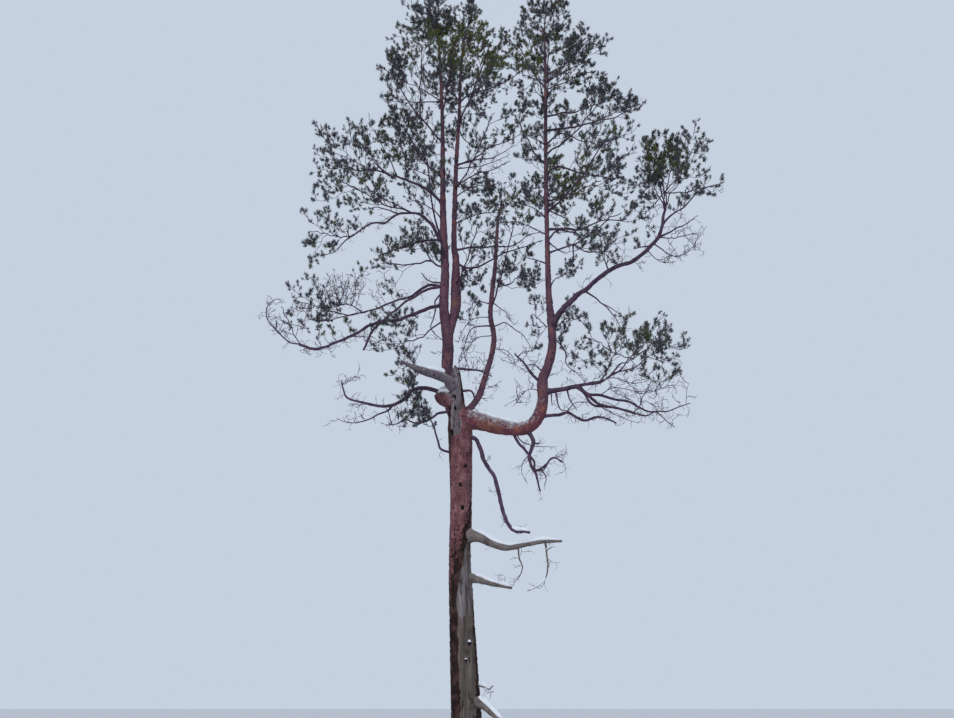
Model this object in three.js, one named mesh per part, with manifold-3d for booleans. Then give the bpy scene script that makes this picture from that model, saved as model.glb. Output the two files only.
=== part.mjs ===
// Old pine with a dead grey top, three live leaders and one long arm, rooted in the ground
// Millimetres, +Z up. +X is to the right and +Y away in the usual view of the tree
// The origin is the middle of the flat cut under the trunk, at ground level

import * as THREE from "three";
import { mergeVertices } from "three/addons/utils/BufferGeometryUtils.js";
import Module from "manifold-3d";

const wasm = await Module();
wasm.setup();
const { Manifold, Mesh: SolidMesh } = wasm;

// Driving dimensions

const CLEARANCE = 0.3; // between a limb and the limb that carries it
const ROOT_RADIUS = 360; // trunk at the ground, before the ribs of the root flare
const BREAST_RADIUS = 258; // trunk 1.3 m up
const BREAST_HEIGHT = 1300;
const FORK_HEIGHT = 6400; // where the arm leaves the trunk
const FORK_RADIUS = 228;
const SNAG_HEIGHT = 7600; // tip of the dead, broken trunk
const FLARE_RIBS = 5; // ribs that run down into the main roots
const FLARE_DEPTH = 0.16; // share of the radius that a rib stands out at the ground
const FLARE_FADE = 420; // height over which the ribs fade away

const STEM_SIDES = 4;
const STEM_FIRST_RADIUS = 14; // and it grows with the way the stem has to go
const STEM_RADIUS_SHARE = 0.009; // of that way
const STEM_WIDEST = 0.9; // of the radius of the limb that carries it
const STEM_TAPER = [1, 0.85, 0.7, 0.55];
const STEM_LEAST_RADIUS = 20; // so that a twig's root is well inside
const STEM_SAG = 0.07; // share of its way that a stem hangs below a straight line
const STEM_REACH = 0.45; // how far out its tip is, where the edge of its space is 1
const BRANCH_SHARE = 0.3; // where a mass's stem divides to its further spaces
const BRANCH_RADIUS = 0.8; // of the first stem's
const STEM_GAP = 1; // least gap between a stem and any piece but its own limb

const TWIGS_PER_SQUARE_METRE = 2.1; // of the space's mean cross-section
const FEWEST_TWIGS = 2; // in the smallest space
const TWIG_HALF_WIDTH = 8;
const SPRAY_THICKNESS = 14;
const BARE_THICKNESS = 12;
const TWIG_FIRST_SHARE = 0.25; // where the lowest twigs leave the stem
const TWIG_LEAD = 0.35; // share of the stem that a twig runs beside it
const TWIG_REACH = 0.92; // least depth of its tip, where the edge of its space is 1
const TWIG_REACH_SPREAD = 0.1;
const FAN_DEPTH = 1.5; // how far back the fan of twigs goes, 2 for a whole ball
const FAN_FIRST = 0.3; // share of a step before the first twig
const FAN_UNEVEN = 0.6; // radians

const ROLLS_TRIED = 8; // ways round that a twig is turned to clear its neighbours
const ROLL_STEP = (Math.PI * 5) / ROLLS_TRIED;
const ROLL_NARROWER = 0.94; // and how much narrower each try is
const WIDEST_DEPTH = 1.2; // how far out its teeth may reach in the first half of the tries
const TEETH_FROM = 0.35; // share of the twig's length from which they are looked at
const OUTER_FROM = 0.2; // share of it from which it keeps off its neighbours on the stem
const TWIG_GAP = 1; // least gap between those
const KEEP_OFF = 4; // least gap between a twig and any other piece

const FIRST_SEED = 1000;
const SEED_STEP = 37; // from one mass to the next
const SHARES_LOOKED_AT = 20; // when the nearest point of a stem is sought
const WELD_DISTANCE = 0.001; // between corners that are one

// Limbs. Each leaves the limb it is on at a share of its length, with a radius there,
// and runs through its knots: x, y, z and radius

const LIMBS = [
  {
    name: "trunk", sides: 15,
    knots: [
      [0, 0, 0, ROOT_RADIUS], [0, 0, 350, 300], [-30, 0, BREAST_HEIGHT, BREAST_RADIUS],
      [-115, 0, 2930, 216], [-150, 0, 3965, 200], [-140, 0, 5040, 195], [-155, 0, 5970, 218],
      [-170, 0, FORK_HEIGHT, FORK_RADIUS], [-225, 0, 6835, 150], [-252, 0, 7230, 123],
      [-260, 0, 7465, 90], [-275, 0, SNAG_HEIGHT, 26],
    ],
  },
  {
    name: "broken_limb", on: "trunk", at: 0.78, root: 95, sides: 8,
    knots: [[-380, -130, 7265, 92], [-580, -200, 7360, 79], [-915, -270, 7465, 65], [-1250, -330, 7575, 46]],
  },
  {
    name: "old_stub", on: "trunk", at: 0.73, root: 120, sides: 8,
    knots: [[-470, -30, 6880, 112], [-520, -40, 7030, 84]],
  },
  {
    name: "snag_limb", on: "trunk", at: 0.965, root: 28, sides: 6,
    knots: [[-130, -50, 7540, 26], [20, -90, 7500, 22], [210, -150, 7440, 18], [420, -220, 7310, 12]],
  },
  {
    name: "left_leader", on: "trunk", at: 0.668, root: 150, sides: 8,
    knots: [
      [-440, 270, 7015, 140], [-460, 380, 7550, 116], [-420, 385, 8165, 104], [-500, 345, 9035, 82],
      [-490, 320, 9740, 74], [-545, 280, 11055, 61], [-575, 250, 12910, 42], [-635, 250, 14390, 30],
      [-690, 250, 15250, 22],
    ],
  },
  {
    name: "middle_leader", on: "left_leader", at: 0.34, root: 80, sides: 8,
    knots: [
      [-300, 420, 9060, 74], [-275, 430, 9960, 62], [-320, 430, 10450, 56], [-290, 420, 12060, 46],
      [-235, 420, 13310, 37], [-200, 430, 14510, 28], [-130, 440, 15350, 22],
    ],
  },
  {
    name: "curved_leader", on: "trunk", at: 0.67, root: 75, sides: 8,
    knots: [
      [130, 250, 6990, 62], [285, 400, 7435, 58], [480, 500, 8275, 55], [415, 520, 8915, 48],
      [510, 500, 9865, 42], [580, 500, 10940, 31], [665, 520, 11285, 25],
    ],
  },
  {
    name: "arm", on: "trunk", at: 0.668, root: 185, sides: 10, steps: 2,
    knots: [[165, -40, 6515, 176], [575, -100, 6390, 150], [905, -160, 6330, 122], [1105, -200, 6365, 114]],
  },
  {
    name: "right_leader", on: "arm", at: 1, root: 113, sides: 10,
    knots: [
      [1270, -240, 6535, 110], [1365, -280, 6850, 106], [1365, -300, 7230, 102], [1470, -320, 7500, 90],
      [1560, -350, 7905, 80], [1540, -360, 8440, 73], [1515, -370, 9010, 58], [1510, -400, 10160, 47],
      [1515, -400, 11365, 42], [1545, -400, 12970, 35], [1565, -400, 14420, 24], [1545, -400, 14950, 22],
    ],
  },
  {
    name: "east_bough", on: "right_leader", at: 0.475, root: 64, sides: 7,
    knots: [
      [1755, -400, 8590, 58], [2105, -450, 8915, 47], [2645, -520, 9340, 43], [3105, -560, 9530, 38],
      [3455, -600, 9805, 37], [3665, -620, 10115, 34], [3780, -620, 10630, 25],
    ],
  },
  {
    name: "south_east_bough", on: "right_leader", at: 0.2, root: 56, sides: 7,
    knots: [
      [1675, -380, 7020, 46], [1985, -460, 7055, 42], [2255, -500, 7090, 28],
      [2545, -560, 7205, 24], [2760, -620, 7420, 20],
    ],
  },
  {
    name: "drooping_bough", on: "south_east_bough", at: 0.4, root: 32, sides: 6,
    knots: [[2275, -540, 6760, 26], [2590, -580, 6625, 23], [3000, -660, 6480, 20]],
  },
  {
    name: "right_dead_bough", on: "right_leader", at: 0.085, root: 36, sides: 6,
    knots: [
      [1575, -320, 6550, 30], [1810, -380, 6570, 27], [2090, -440, 6440, 25], [2360, -500, 6480, 22],
      [2670, -560, 6325, 15],
    ],
  },
  {
    name: "tangle_limb", on: "arm", at: 0.93, root: 32, sides: 6,
    knots: [
      [1175, -260, 6040, 27], [1095, -320, 5745, 25], [1185, -380, 5510, 22], [1365, -420, 5585, 18],
      [1490, -460, 5700, 15], [1665, -500, 5645, 10],
    ],
  },
  {
    name: "hanging_limb", on: "trunk", at: 0.6, root: 56, sides: 6,
    knots: [
      [130, -120, 6120, 50], [275, -240, 5745, 45], [470, -340, 5355, 41], [575, -400, 4895, 37],
      [690, -440, 4530, 34], [830, -460, 4400, 31], [1090, -480, 4370, 22],
    ],
  },
  {
    name: "snow_limb", on: "trunk", at: 0.4, root: 112, sides: 7,
    knots: [
      [165, -100, 4365, 92], [450, -200, 4220, 71], [695, -280, 4145, 56], [970, -360, 4180, 44],
      [1300, -440, 4225, 34], [1625, -500, 4225, 20],
    ],
  },
  {
    name: "low_dead_limb", on: "trunk", at: 0.337, root: 82, sides: 6,
    knots: [[200, -80, 3610, 64], [445, -150, 3530, 44], [755, -220, 3455, 20]],
  },
  {
    name: "foot_limb", on: "trunk", at: 0.203, root: 90, sides: 6,
    knots: [[230, -140, 1550, 72], [400, -220, 1410, 56], [580, -300, 1270, 24]],
  },
  {
    name: "west_low_bough", on: "left_leader", at: 0.44, root: 40, sides: 6,
    knots: [
      [-875, 260, 8875, 36], [-1350, 140, 8605, 33], [-1765, 40, 8505, 31], [-2275, -100, 8175, 28],
      [-2845, -240, 7865, 23], [-3200, -320, 7900, 18],
    ],
  },
  {
    name: "west_mid_bough", on: "left_leader", at: 0.504, root: 42, sides: 6,
    knots: [[-830, 380, 9420, 40], [-1290, 450, 9200, 34], [-1830, 500, 9005, 28], [-2385, 550, 8850, 22]],
  },
  {
    name: "west_high_bough", on: "left_leader", at: 0.6, root: 50, sides: 6,
    knots: [
      [-720, 200, 10595, 46], [-1005, 100, 10870, 42], [-1340, 20, 10855, 36], [-1665, -60, 10595, 30],
      [-1975, -140, 10525, 26], [-2350, -200, 10200, 20],
    ],
  },
  {
    name: "west_top_bough", on: "left_leader", at: 0.675, root: 41, sides: 6,
    knots: [
      [-820, 330, 11525, 35], [-1160, 400, 11755, 31], [-1540, 440, 11900, 27], [-1950, 480, 12080, 21],
    ],
  },
  {
    name: "west_dead_bough", on: "left_leader", at: 0.14, root: 48, sides: 6,
    knots: [
      [-780, 100, 7200, 40], [-1040, 20, 7160, 38], [-1220, -60, 6940, 35], [-1545, -140, 6790, 30],
      [-1925, -220, 6815, 24], [-2255, -280, 6900, 18], [-2375, -320, 7205, 11],
    ],
  },
];

// Masses of foliage. Each grows from one stem on a limb, and fills one or more round spaces,
// each with its centre and its half sizes along x, y and z

const MASSES = [
  {
    name: "foliage_west_top", on: "left_leader", at: 0.985,
    spaces: [[[-900, 100, 15700], [480, 800, 710]]],
  },
  {
    name: "foliage_middle_top", on: "middle_leader", at: 0.985,
    spaces: [[[-150, 600, 15950], [480, 800, 740]]],
  },
  {
    name: "foliage_middle_upper", on: "middle_leader", at: 0.7,
    spaces: [[[350, -1000, 13900], [480, 910, 630]]],
  },
  {
    name: "foliage_west_upper", on: "left_leader", at: 0.76,
    spaces: [[[-1650, 500, 14400], [400, 800, 710]], [[-950, -1300, 13500], [430, 910, 570]]],
  },
  {
    name: "foliage_rear_upper", on: "middle_leader", at: 0.76,
    spaces: [[[-550, 1700, 15350], [630, 910, 710]]],
  },
  {
    name: "foliage_front_upper", on: "left_leader", at: 0.8,
    spaces: [[[-350, -900, 13950], [480, 680, 570]]],
  },
  {
    name: "foliage_west_rear", on: "left_leader", at: 0.71,
    spaces: [[[-1450, 1500, 13700], [710, 1030, 710]]],
  },
  {
    name: "foliage_far_west", on: "west_top_bough", at: 0.985,
    spaces: [[[-2500, 500, 12350], [950, 1030, 650]]],
  },
  {
    name: "foliage_west_band", on: "west_high_bough", at: 0.42,
    spaces: [[[-2200, -300, 11200], [940, 910, 430]]],
  },
  {
    name: "foliage_west_low", on: "west_high_bough", at: 0.985,
    spaces: [[[-2850, -300, 10250], [570, 800, 660]]],
  },
  {
    name: "foliage_west_inner", on: "left_leader", at: 0.56,
    spaces: [[[-1150, 1900, 11200], [570, 910, 660]], [[-1750, 1200, 10300], [280, 680, 660]]],
  },
  {
    name: "foliage_west_middle", on: "west_mid_bough", at: 0.98,
    spaces: [[[-3100, 500, 9050], [770, 910, 660]], [[-2450, 100, 9300], [680, 680, 370], "bare"]],
  },
  {
    name: "foliage_rear_low", on: "left_leader", at: 0.4,
    spaces: [[[-1350, 1300, 8550], [710, 910, 570]]],
  },
  {
    name: "foliage_west_front", on: "left_leader", at: 0.58,
    spaces: [[[-800, -1600, 11100], [430, 910, 460]]],
  },
  {
    name: "foliage_middle_front", on: "middle_leader", at: 0.53,
    spaces: [[[350, -900, 12250], [570, 910, 660]]],
  },
  {
    name: "foliage_middle_rear", on: "middle_leader", at: 0.55,
    spaces: [[[100, 2200, 12700], [510, 910, 660]]],
  },
  {
    name: "foliage_middle_low", on: "middle_leader", at: 0.2,
    spaces: [[[100, -900, 9900], [370, 800, 570]], [[50, 900, 9750], [340, 570, 430]]],
  },
  {
    name: "foliage_curved_tip", on: "curved_leader", at: 0.985,
    spaces: [[[650, 600, 11700], [460, 800, 480]]],
  },
  {
    name: "foliage_curved_low", on: "curved_leader", at: 0.58,
    spaces: [[[800, -700, 10000], [480, 800, 510]], [[1000, 1500, 10100], [600, 800, 340]]],
  },
  {
    name: "foliage_right_top", on: "right_leader", at: 0.985,
    spaces: [[[1600, -400, 15300], [570, 800, 660]]],
  },
  {
    name: "foliage_right_inner", on: "right_leader", at: 0.86,
    spaces: [[[1050, 400, 15200], [480, 800, 680]]],
  },
  {
    name: "foliage_right_shoulder", on: "right_leader", at: 0.87,
    spaces: [[[2300, -700, 14300], [570, 910, 600]]],
  },
  {
    name: "foliage_right_front", on: "right_leader", at: 0.82,
    spaces: [[[1550, -1500, 13550], [540, 800, 460]]],
  },
  {
    name: "foliage_right_rear", on: "right_leader", at: 0.84,
    spaces: [[[1550, 1100, 14750], [600, 910, 680]]],
  },
  {
    name: "foliage_right_upper", on: "right_leader", at: 0.78,
    spaces: [[[2620, -300, 13150], [900, 880, 420]]],
  },
  {
    name: "foliage_right_between", on: "right_leader", at: 0.77,
    spaces: [[[1050, 1100, 13700], [570, 910, 740]]],
  },
  {
    name: "foliage_right_middle", on: "right_leader", at: 0.7,
    spaces: [[[2450, -1900, 11250], [710, 1030, 510]]],
  },
  {
    name: "foliage_right_back", on: "right_leader", at: 0.73,
    spaces: [[[1650, 1700, 12400], [680, 1030, 570]]],
  },
  {
    name: "foliage_right_long", on: "right_leader", at: 0.72,
    spaces: [[[2500, 200, 11600], [940, 910, 430]]],
  },
  {
    name: "foliage_right_low", on: "right_leader", at: 0.64,
    spaces: [
      [[2500, -1600, 9850], [740, 910, 340]], [[2400, -2000, 9050], [540, 680, 260]],
      [[2100, 700, 10100], [340, 680, 430]],
    ],
  },
  {
    name: "foliage_east", on: "east_bough", at: 0.985,
    spaces: [
      [[3800, -600, 11600], [540, 1030, 630]], [[4450, -400, 12000], [430, 910, 660]],
      [[4650, -500, 11150], [370, 400, 200]], [[3400, -700, 10500], [310, 570, 480]],
    ],
  },
  {
    name: "foliage_south_east", on: "south_east_bough", at: 0.985,
    spaces: [[[3350, -600, 7800], [700, 1030, 640]], [[2350, -1000, 7700], [630, 910, 510]]],
  },
  {
    name: "foliage_bend", on: "right_leader", at: 0.47,
    spaces: [[[1300, -100, 8550], [230, 570, 660]]],
  },
  {
    name: "foliage_low_west", on: "west_dead_bough", at: 0.4,
    spaces: [[[-1100, -100, 6950], [370, 800, 600]]],
  },
  {
    name: "twigs_far_west", on: "west_low_bough", at: 0.98,
    spaces: [[[-3450, -400, 8450], [480, 570, 510], "bare"]],
  },
  {
    name: "twigs_south_east", on: "drooping_bough", at: 0.98,
    spaces: [[[3200, -700, 6900], [740, 680, 400], "bare"]],
  },
  {
    name: "twigs_east", on: "east_bough", at: 0.8,
    spaces: [[[4100, -700, 10000], [480, 570, 540], "bare"]],
  },
];

// Materials

const bark = (color, roughness) => new THREE.MeshStandardMaterial({ color, roughness, metalness: 0 });
const TRUNK_BARK = bark(0x7d6a66, 0.95);
const LEADER_BARK = bark(0x96604f, 0.85);
const GREY_WOOD = bark(0x8d8a86, 0.9);
const DARK_BARK = bark(0x5c4a50, 0.9);
const NEEDLES = bark(0x45543c, 0.8);
const BARE_TWIGS = bark(0x6b5c5e, 0.9);
const LEADERS = ["left_leader", "middle_leader", "curved_leader", "arm", "right_leader", "old_stub"];
const GREY_LIMBS = ["broken_limb", "snag_limb", "snow_limb", "low_dead_limb", "foot_limb"];

function limbMaterial(name) {
  if (name === "trunk") return TRUNK_BARK;
  if (LEADERS.includes(name)) return LEADER_BARK;
  return GREY_LIMBS.includes(name) ? GREY_WOOD : DARK_BARK;
}

// Small helpers

const vector = ([x, y, z]) => new THREE.Vector3(x, y, z);

// Evenly spread numbers from 0 to 1, the same ones for the same seed
function seeded(seed) {
  let state = seed;
  return () => {
    state = (state * 16807) % 2147483647;
    return state / 2147483647;
  };
}

// A limb's centreline through its knots, and its radius at a share of the way along
function course(knots) {
  const line = new THREE.CatmullRomCurve3(knots.map(vector), false, "catmullrom", 0.5);
  const spans = knots.length - 1;
  const radius = (share) => {
    const span = Math.min(Math.floor(share * spans), spans - 1);
    return THREE.MathUtils.lerp(knots[span][3], knots[span + 1][3], share * spans - span);
  };
  return { line, radius, spans };
}

// The ribs of the root flare, as a factor on the trunk's radius
function flare(angle, height) {
  return 1 + FLARE_DEPTH * Math.cos(FLARE_RIBS * angle) * Math.exp(-height / FLARE_FADE);
}

// Solids

function solidOf(geometry) {
  geometry.deleteAttribute("normal");
  geometry.deleteAttribute("uv");
  const merged = mergeVertices(geometry, WELD_DISTANCE);
  const vertProperties = Float32Array.from(merged.attributes.position.array);
  const triVerts = Uint32Array.from(merged.index.array);
  return new Manifold(new SolidMesh({ numProp: 3, vertProperties, triVerts }));
}

function geometryOf(solid) {
  const mesh = solid.getMesh();
  const geometry = new THREE.BufferGeometry();
  geometry.setAttribute("position", new THREE.BufferAttribute(Float32Array.from(mesh.vertProperties), 3));
  geometry.setIndex(new THREE.BufferAttribute(Uint32Array.from(mesh.triVerts), 1));
  geometry.computeVertexNormals();
  return geometry;
}

// A closed cylinder bent along a limb's course. grow makes it fatter and longer, for cutting
function limbSolid({ line, radius, spans }, sides, stepsPerSpan, grow = 0, ribs = () => 1) {
  const steps = spans * stepsPerSpan;
  const geometry = new THREE.CylinderGeometry(1, 1, 1, sides, steps);
  const rings = [];
  let normal = new THREE.Vector3(0, -1, 0);
  for (let step = 0; step <= steps; step += 1) {
    const share = step / steps;
    const tangent = line.getTangent(share);
    normal = normal.clone().addScaledVector(tangent, -normal.dot(tangent)).normalize();
    const binormal = new THREE.Vector3().crossVectors(tangent, normal);
    const centre = line.getPoint(share);
    if (step === 0) centre.addScaledVector(tangent, -grow);
    if (step === steps) centre.addScaledVector(tangent, grow);
    rings.push({ centre, normal, binormal, radius: radius(share) + grow });
  }
  const position = geometry.attributes.position;
  const point = new THREE.Vector3();
  for (let index = 0; index < position.count; index += 1) {
    point.fromBufferAttribute(position, index);
    const ring = rings[Math.round((point.y + 0.5) * steps)];
    const reach = ring.radius * ribs(Math.atan2(point.z, point.x), ring.centre.z);
    const moved = ring.centre.clone();
    moved.addScaledVector(ring.normal, point.x * reach).addScaledVector(ring.binormal, -point.z * reach);
    position.setXYZ(index, moved.x, moved.y, moved.z);
  }
  return solidOf(geometry);
}

// The largest piece of a solid, so that a loose scrap from cutting is dropped
function largest(solid) {
  return solid.decompose().reduce((best, piece) => (piece.volume() > best.volume() ? piece : best));
}

// Half outlines of a flat branching twig, from its root to the tip on its middle line.
// Each entry is a share of the twig's length ahead, and a share out to the side
const SPRAY_TEETH = [
  [0.28, 0.012], [0.38, 0.52], [0.53, 0.35], [0.8, 0.44], [0.6, 0.11], [0.85, 0.23], [0.87, 0.09], [1, 0],
];
const BARE_FORKS = [
  [0.3, 0.01], [0.56, 0.34], [0.59, 0.33], [0.4, 0.01], [0.55, 0.008], [0.86, 0.25], [0.88, 0.235],
  [0.66, 0.006], [1, 0],
];

// A flat twig with its sprays of needles as toothed blades, or with bare forks, cut from a plate
function twigSolid({ start, end, across, spread, bare }) {
  const ahead = end.clone().sub(start);
  const whole = ahead.length();
  ahead.normalize();
  const sideways = across.clone().addScaledVector(ahead, -across.dot(ahead)).normalize();
  const third = new THREE.Vector3().crossVectors(ahead, sideways);
  const half = (bare ? BARE_FORKS : SPRAY_TEETH).map(([on, out]) => [on * whole, out * spread * whole]);
  const corners = [[0, TWIG_HALF_WIDTH], ...half];
  const mirrored = corners.slice(0, -1).reverse().map(([on, out]) => [on, -out]);
  const outline = new THREE.Shape([...corners, ...mirrored].map(([on, out]) => new THREE.Vector2(on, out)));
  const thickness = bare ? BARE_THICKNESS : SPRAY_THICKNESS;
  const geometry = new THREE.ExtrudeGeometry(outline, { depth: thickness, bevelEnabled: false });
  geometry.translate(0, 0, -thickness / 2);
  geometry.applyMatrix4(new THREE.Matrix4().makeBasis(ahead, sideways, third).setPosition(start));
  return solidOf(geometry);
}

// How far out of its space a twig's widest teeth reach, 1 at the edge
function widestDepth({ start, end, across, spread, space }) {
  const ahead = end.clone().sub(start);
  const whole = ahead.length();
  ahead.normalize();
  const sideways = across.clone().addScaledVector(ahead, -across.dot(ahead)).normalize();
  const teeth = SPRAY_TEETH.flatMap(([on, out]) => [[on, out], [on, -out]]);
  const tips = teeth.filter(([on]) => on >= TEETH_FROM).map(([on, out]) =>
    start.clone().addScaledVector(ahead, on * whole).addScaledVector(sideways, out * spread * whole));
  return Math.max(...tips.map((tip) => depthIn(space, tip)));
}

// Boxes of solids, to test only near neighbours
function boxesApart(a, b, gap) {
  return [0, 1, 2].some((axis) => a.min[axis] - gap > b.max[axis] || b.min[axis] - gap > a.max[axis]);
}

function keepsOff(solid, others, gap) {
  const box = solid.boundingBox();
  return others.every((other) =>
    boxesApart(box, other.box, gap) || solid.minGap(other.solid, gap + 1) > gap);
}

// Limbs: each is cut clear of the limbs made before it

const limbs = new Map();

function rootOn(limbName, share) {
  return limbs.get(limbName).course.line.getPoint(share);
}

function cutClear(solid) {
  const box = solid.boundingBox();
  const near = [...limbs.values()].filter((limb) => !boxesApart(box, limb.envelope.boundingBox(), 0));
  return largest(near.reduce((rest, limb) => rest.subtract(limb.envelope), solid));
}

for (const { name, on, at, root, sides, steps = 1, knots } of LIMBS) {
  const allKnots = on ? [[...rootOn(on, at).toArray(), root], ...knots] : knots;
  const path = course(allKnots);
  const ribs = name === "trunk" ? flare : undefined;
  const solid = cutClear(limbSolid(path, sides, steps, 0, ribs));
  const envelope = limbSolid(path, sides, steps, CLEARANCE, ribs);
  limbs.set(name, { course: path, solid, box: solid.boundingBox(), envelope });
}

// Masses of foliage

// The distance from a space's centre, 1 at its edge
function depthIn([centre, half], point) {
  return Math.hypot(...[0, 1, 2].map((axis) => (point.getComponent(axis) - centre[axis]) / half[axis]));
}

// A stem that sags a little on its way to a space, and rises through its middle
function stemCourse(start, startRadius, space) {
  const centre = vector(space[0]);
  const along = centre.clone().sub(start);
  const distance = along.length();
  const middle = start.clone().addScaledVector(along, 0.5);
  middle.z -= STEM_SAG * distance;
  const reach = STEM_REACH / depthIn(space, centre.clone().addScaledVector(along, 1 / distance));
  const end = centre.clone().addScaledVector(along, reach / distance);
  const radii = STEM_TAPER.map((share) => Math.max(share * startRadius, STEM_LEAST_RADIUS));
  return course([start, middle, centre, end].map((point, index) => [...point.toArray(), radii[index]]));
}

function nearestShare(line, point) {
  const shares = Array.from({ length: SHARES_LOOKED_AT + 1 }, (unused, index) => index / SHARES_LOOKED_AT);
  return shares.reduce((best, share) =>
    line.getPoint(share).distanceTo(point) < line.getPoint(best).distanceTo(point) ? share : best);
}

// The twigs of one space, fanned out evenly by the golden angle round the way its stem runs:
// where each starts on the stem, where it ends near the edge of the space, and how it is rolled
function twigsIn(space, stem, random) {
  const [centre, half, bare] = space;
  const section = (Math.PI / 3) * (half[0] * half[1] + half[1] * half[2] + half[0] * half[2]) / 1e6;
  const count = Math.max(FEWEST_TWIGS, Math.round(section * TWIGS_PER_SQUARE_METRE));
  const goldenAngle = Math.PI * (3 - Math.sqrt(5));
  const onward = stem.line.getPoint(1).sub(stem.line.getPoint(0)).divide(vector(half)).normalize();
  const toOnward = new THREE.Quaternion().setFromUnitVectors(new THREE.Vector3(0, 0, 1), onward);
  return Array.from({ length: count }, (unused, index) => {
    const forward = 1 - (FAN_DEPTH * (index + FAN_FIRST)) / count;
    const ring = Math.sqrt(1 - forward * forward);
    const turn = goldenAngle * index + random() * FAN_UNEVEN;
    const depth = TWIG_REACH + TWIG_REACH_SPREAD * random();
    const unit = new THREE.Vector3(ring * Math.cos(turn), ring * Math.sin(turn), forward);
    unit.applyQuaternion(toOnward).multiplyScalar(depth);
    const end = unit.multiply(vector(half)).add(vector(centre));
    const share = Math.max(TWIG_FIRST_SHARE, nearestShare(stem.line, end) - TWIG_LEAD);
    const start = stem.line.getPoint(share);
    const across = new THREE.Vector3(random() - 0.5, random() - 0.5, random() - 0.5);
    return { start, end, across, spread: 1, bare, space };
  });
}

// The twig's solid at the first roll that keeps it in its space and off the other pieces and twigs.
// Each try is a little narrower than the last
function fittedTwig(twig, pieces, twigs) {
  const ahead = twig.end.clone().sub(twig.start).normalize();
  for (let turn = 0; turn < ROLLS_TRIED; turn += 1) {
    const across = twig.across.clone().applyAxisAngle(ahead, turn * ROLL_STEP);
    const tried = { ...twig, across, spread: ROLL_NARROWER ** turn };
    const solid = twigSolid(tried);
    const inside = widestDepth(tried) < WIDEST_DEPTH || turn > ROLLS_TRIED / 2;
    const outer = twigSolid({ ...tried, start: twig.start.clone().lerp(twig.end, OUTER_FROM) });
    if (inside && keepsOff(outer, twigs, TWIG_GAP) && keepsOff(solid, pieces, KEEP_OFF)) {
      return { solid, outer: { solid: outer, box: outer.boundingBox() } };
    }
  }
  return null;
}

const obstacles = [...limbs.values()].map(({ solid, box }) => ({ solid, box }));
const masses = new Map();

MASSES.forEach(({ name, on, at, spaces }, massIndex) => {
  const random = seeded(FIRST_SEED + SEED_STEP * massIndex);
  const host = limbs.get(on);
  const start = host.course.line.getPoint(at);
  const distance = start.distanceTo(vector(spaces[0][0]));
  const grownRadius = STEM_FIRST_RADIUS + STEM_RADIUS_SHARE * distance;
  const stemRadius = Math.min(grownRadius, STEM_WIDEST * host.course.radius(at));
  const firstStem = stemCourse(start, stemRadius, spaces[0]);
  const division = firstStem.line.getPoint(BRANCH_SHARE);
  const courses = spaces.map((space, index) =>
    index === 0 ? firstStem : stemCourse(division, stemRadius * BRANCH_RADIUS, space));
  const wood = Manifold.union(courses.map((path) => limbSolid(path, STEM_SIDES, 1)));
  const clear = largest(wood.subtract(host.envelope));
  const others = obstacles.filter((other) => other.solid !== host.solid);
  if (!keepsOff(clear, others, STEM_GAP)) throw new Error(`the stem of ${name} touches another piece`);
  const parts = [clear];
  const twigs = [];
  spaces.forEach((space, index) => {
    for (const twig of twigsIn(space, courses[index], random)) {
      const fitted = fittedTwig(twig, obstacles, twigs);
      if (fitted) {
        parts.push(fitted.solid);
        twigs.push(fitted.outer);
      }
    }
  });
  const mass = largest(Manifold.union(parts));
  masses.set(name, mass);
  obstacles.push({ solid: mass, box: mass.boundingBox() });
});

// The tree

const tree = new THREE.Group();
tree.name = "pine_tree";

function addPiece(name, solid, material) {
  const mesh = new THREE.Mesh(geometryOf(solid), material);
  mesh.name = name;
  tree.add(mesh);
}

for (const [name, limb] of limbs) addPiece(name, limb.solid, limbMaterial(name));
for (const [name, mass] of masses) addPiece(name, mass, name.startsWith("twigs") ? BARE_TWIGS : NEEDLES);

export default tree;
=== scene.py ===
"""Old pine with a dead grey top, three live leaders and one long arm, in winter.

Metres, +Z up, +X to the right and +Y away in the usual view. The origin is at ground level.
"""

import math

import bpy
import numpy as np
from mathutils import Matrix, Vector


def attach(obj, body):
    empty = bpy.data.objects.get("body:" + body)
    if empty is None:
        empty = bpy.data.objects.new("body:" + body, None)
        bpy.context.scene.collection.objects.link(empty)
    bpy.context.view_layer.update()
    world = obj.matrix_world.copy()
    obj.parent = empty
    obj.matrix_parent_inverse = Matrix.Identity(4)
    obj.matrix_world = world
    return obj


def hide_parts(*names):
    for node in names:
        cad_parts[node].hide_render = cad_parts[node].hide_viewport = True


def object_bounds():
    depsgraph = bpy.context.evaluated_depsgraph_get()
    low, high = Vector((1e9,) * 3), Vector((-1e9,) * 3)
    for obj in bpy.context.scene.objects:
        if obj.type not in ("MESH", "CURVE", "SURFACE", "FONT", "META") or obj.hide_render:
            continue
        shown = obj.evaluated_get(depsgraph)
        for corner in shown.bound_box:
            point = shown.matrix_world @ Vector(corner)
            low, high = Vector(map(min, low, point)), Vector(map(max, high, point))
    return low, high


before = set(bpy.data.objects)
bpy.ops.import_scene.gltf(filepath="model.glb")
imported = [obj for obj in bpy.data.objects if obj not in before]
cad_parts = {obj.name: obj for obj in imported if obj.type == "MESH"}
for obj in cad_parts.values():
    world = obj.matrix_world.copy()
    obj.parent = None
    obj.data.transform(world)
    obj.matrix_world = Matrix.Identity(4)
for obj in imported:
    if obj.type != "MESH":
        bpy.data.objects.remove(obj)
cad_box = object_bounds()

# Sizes. The trunk's and those in the tables of limbs and masses are in millimetres, all others in
# metres

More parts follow.
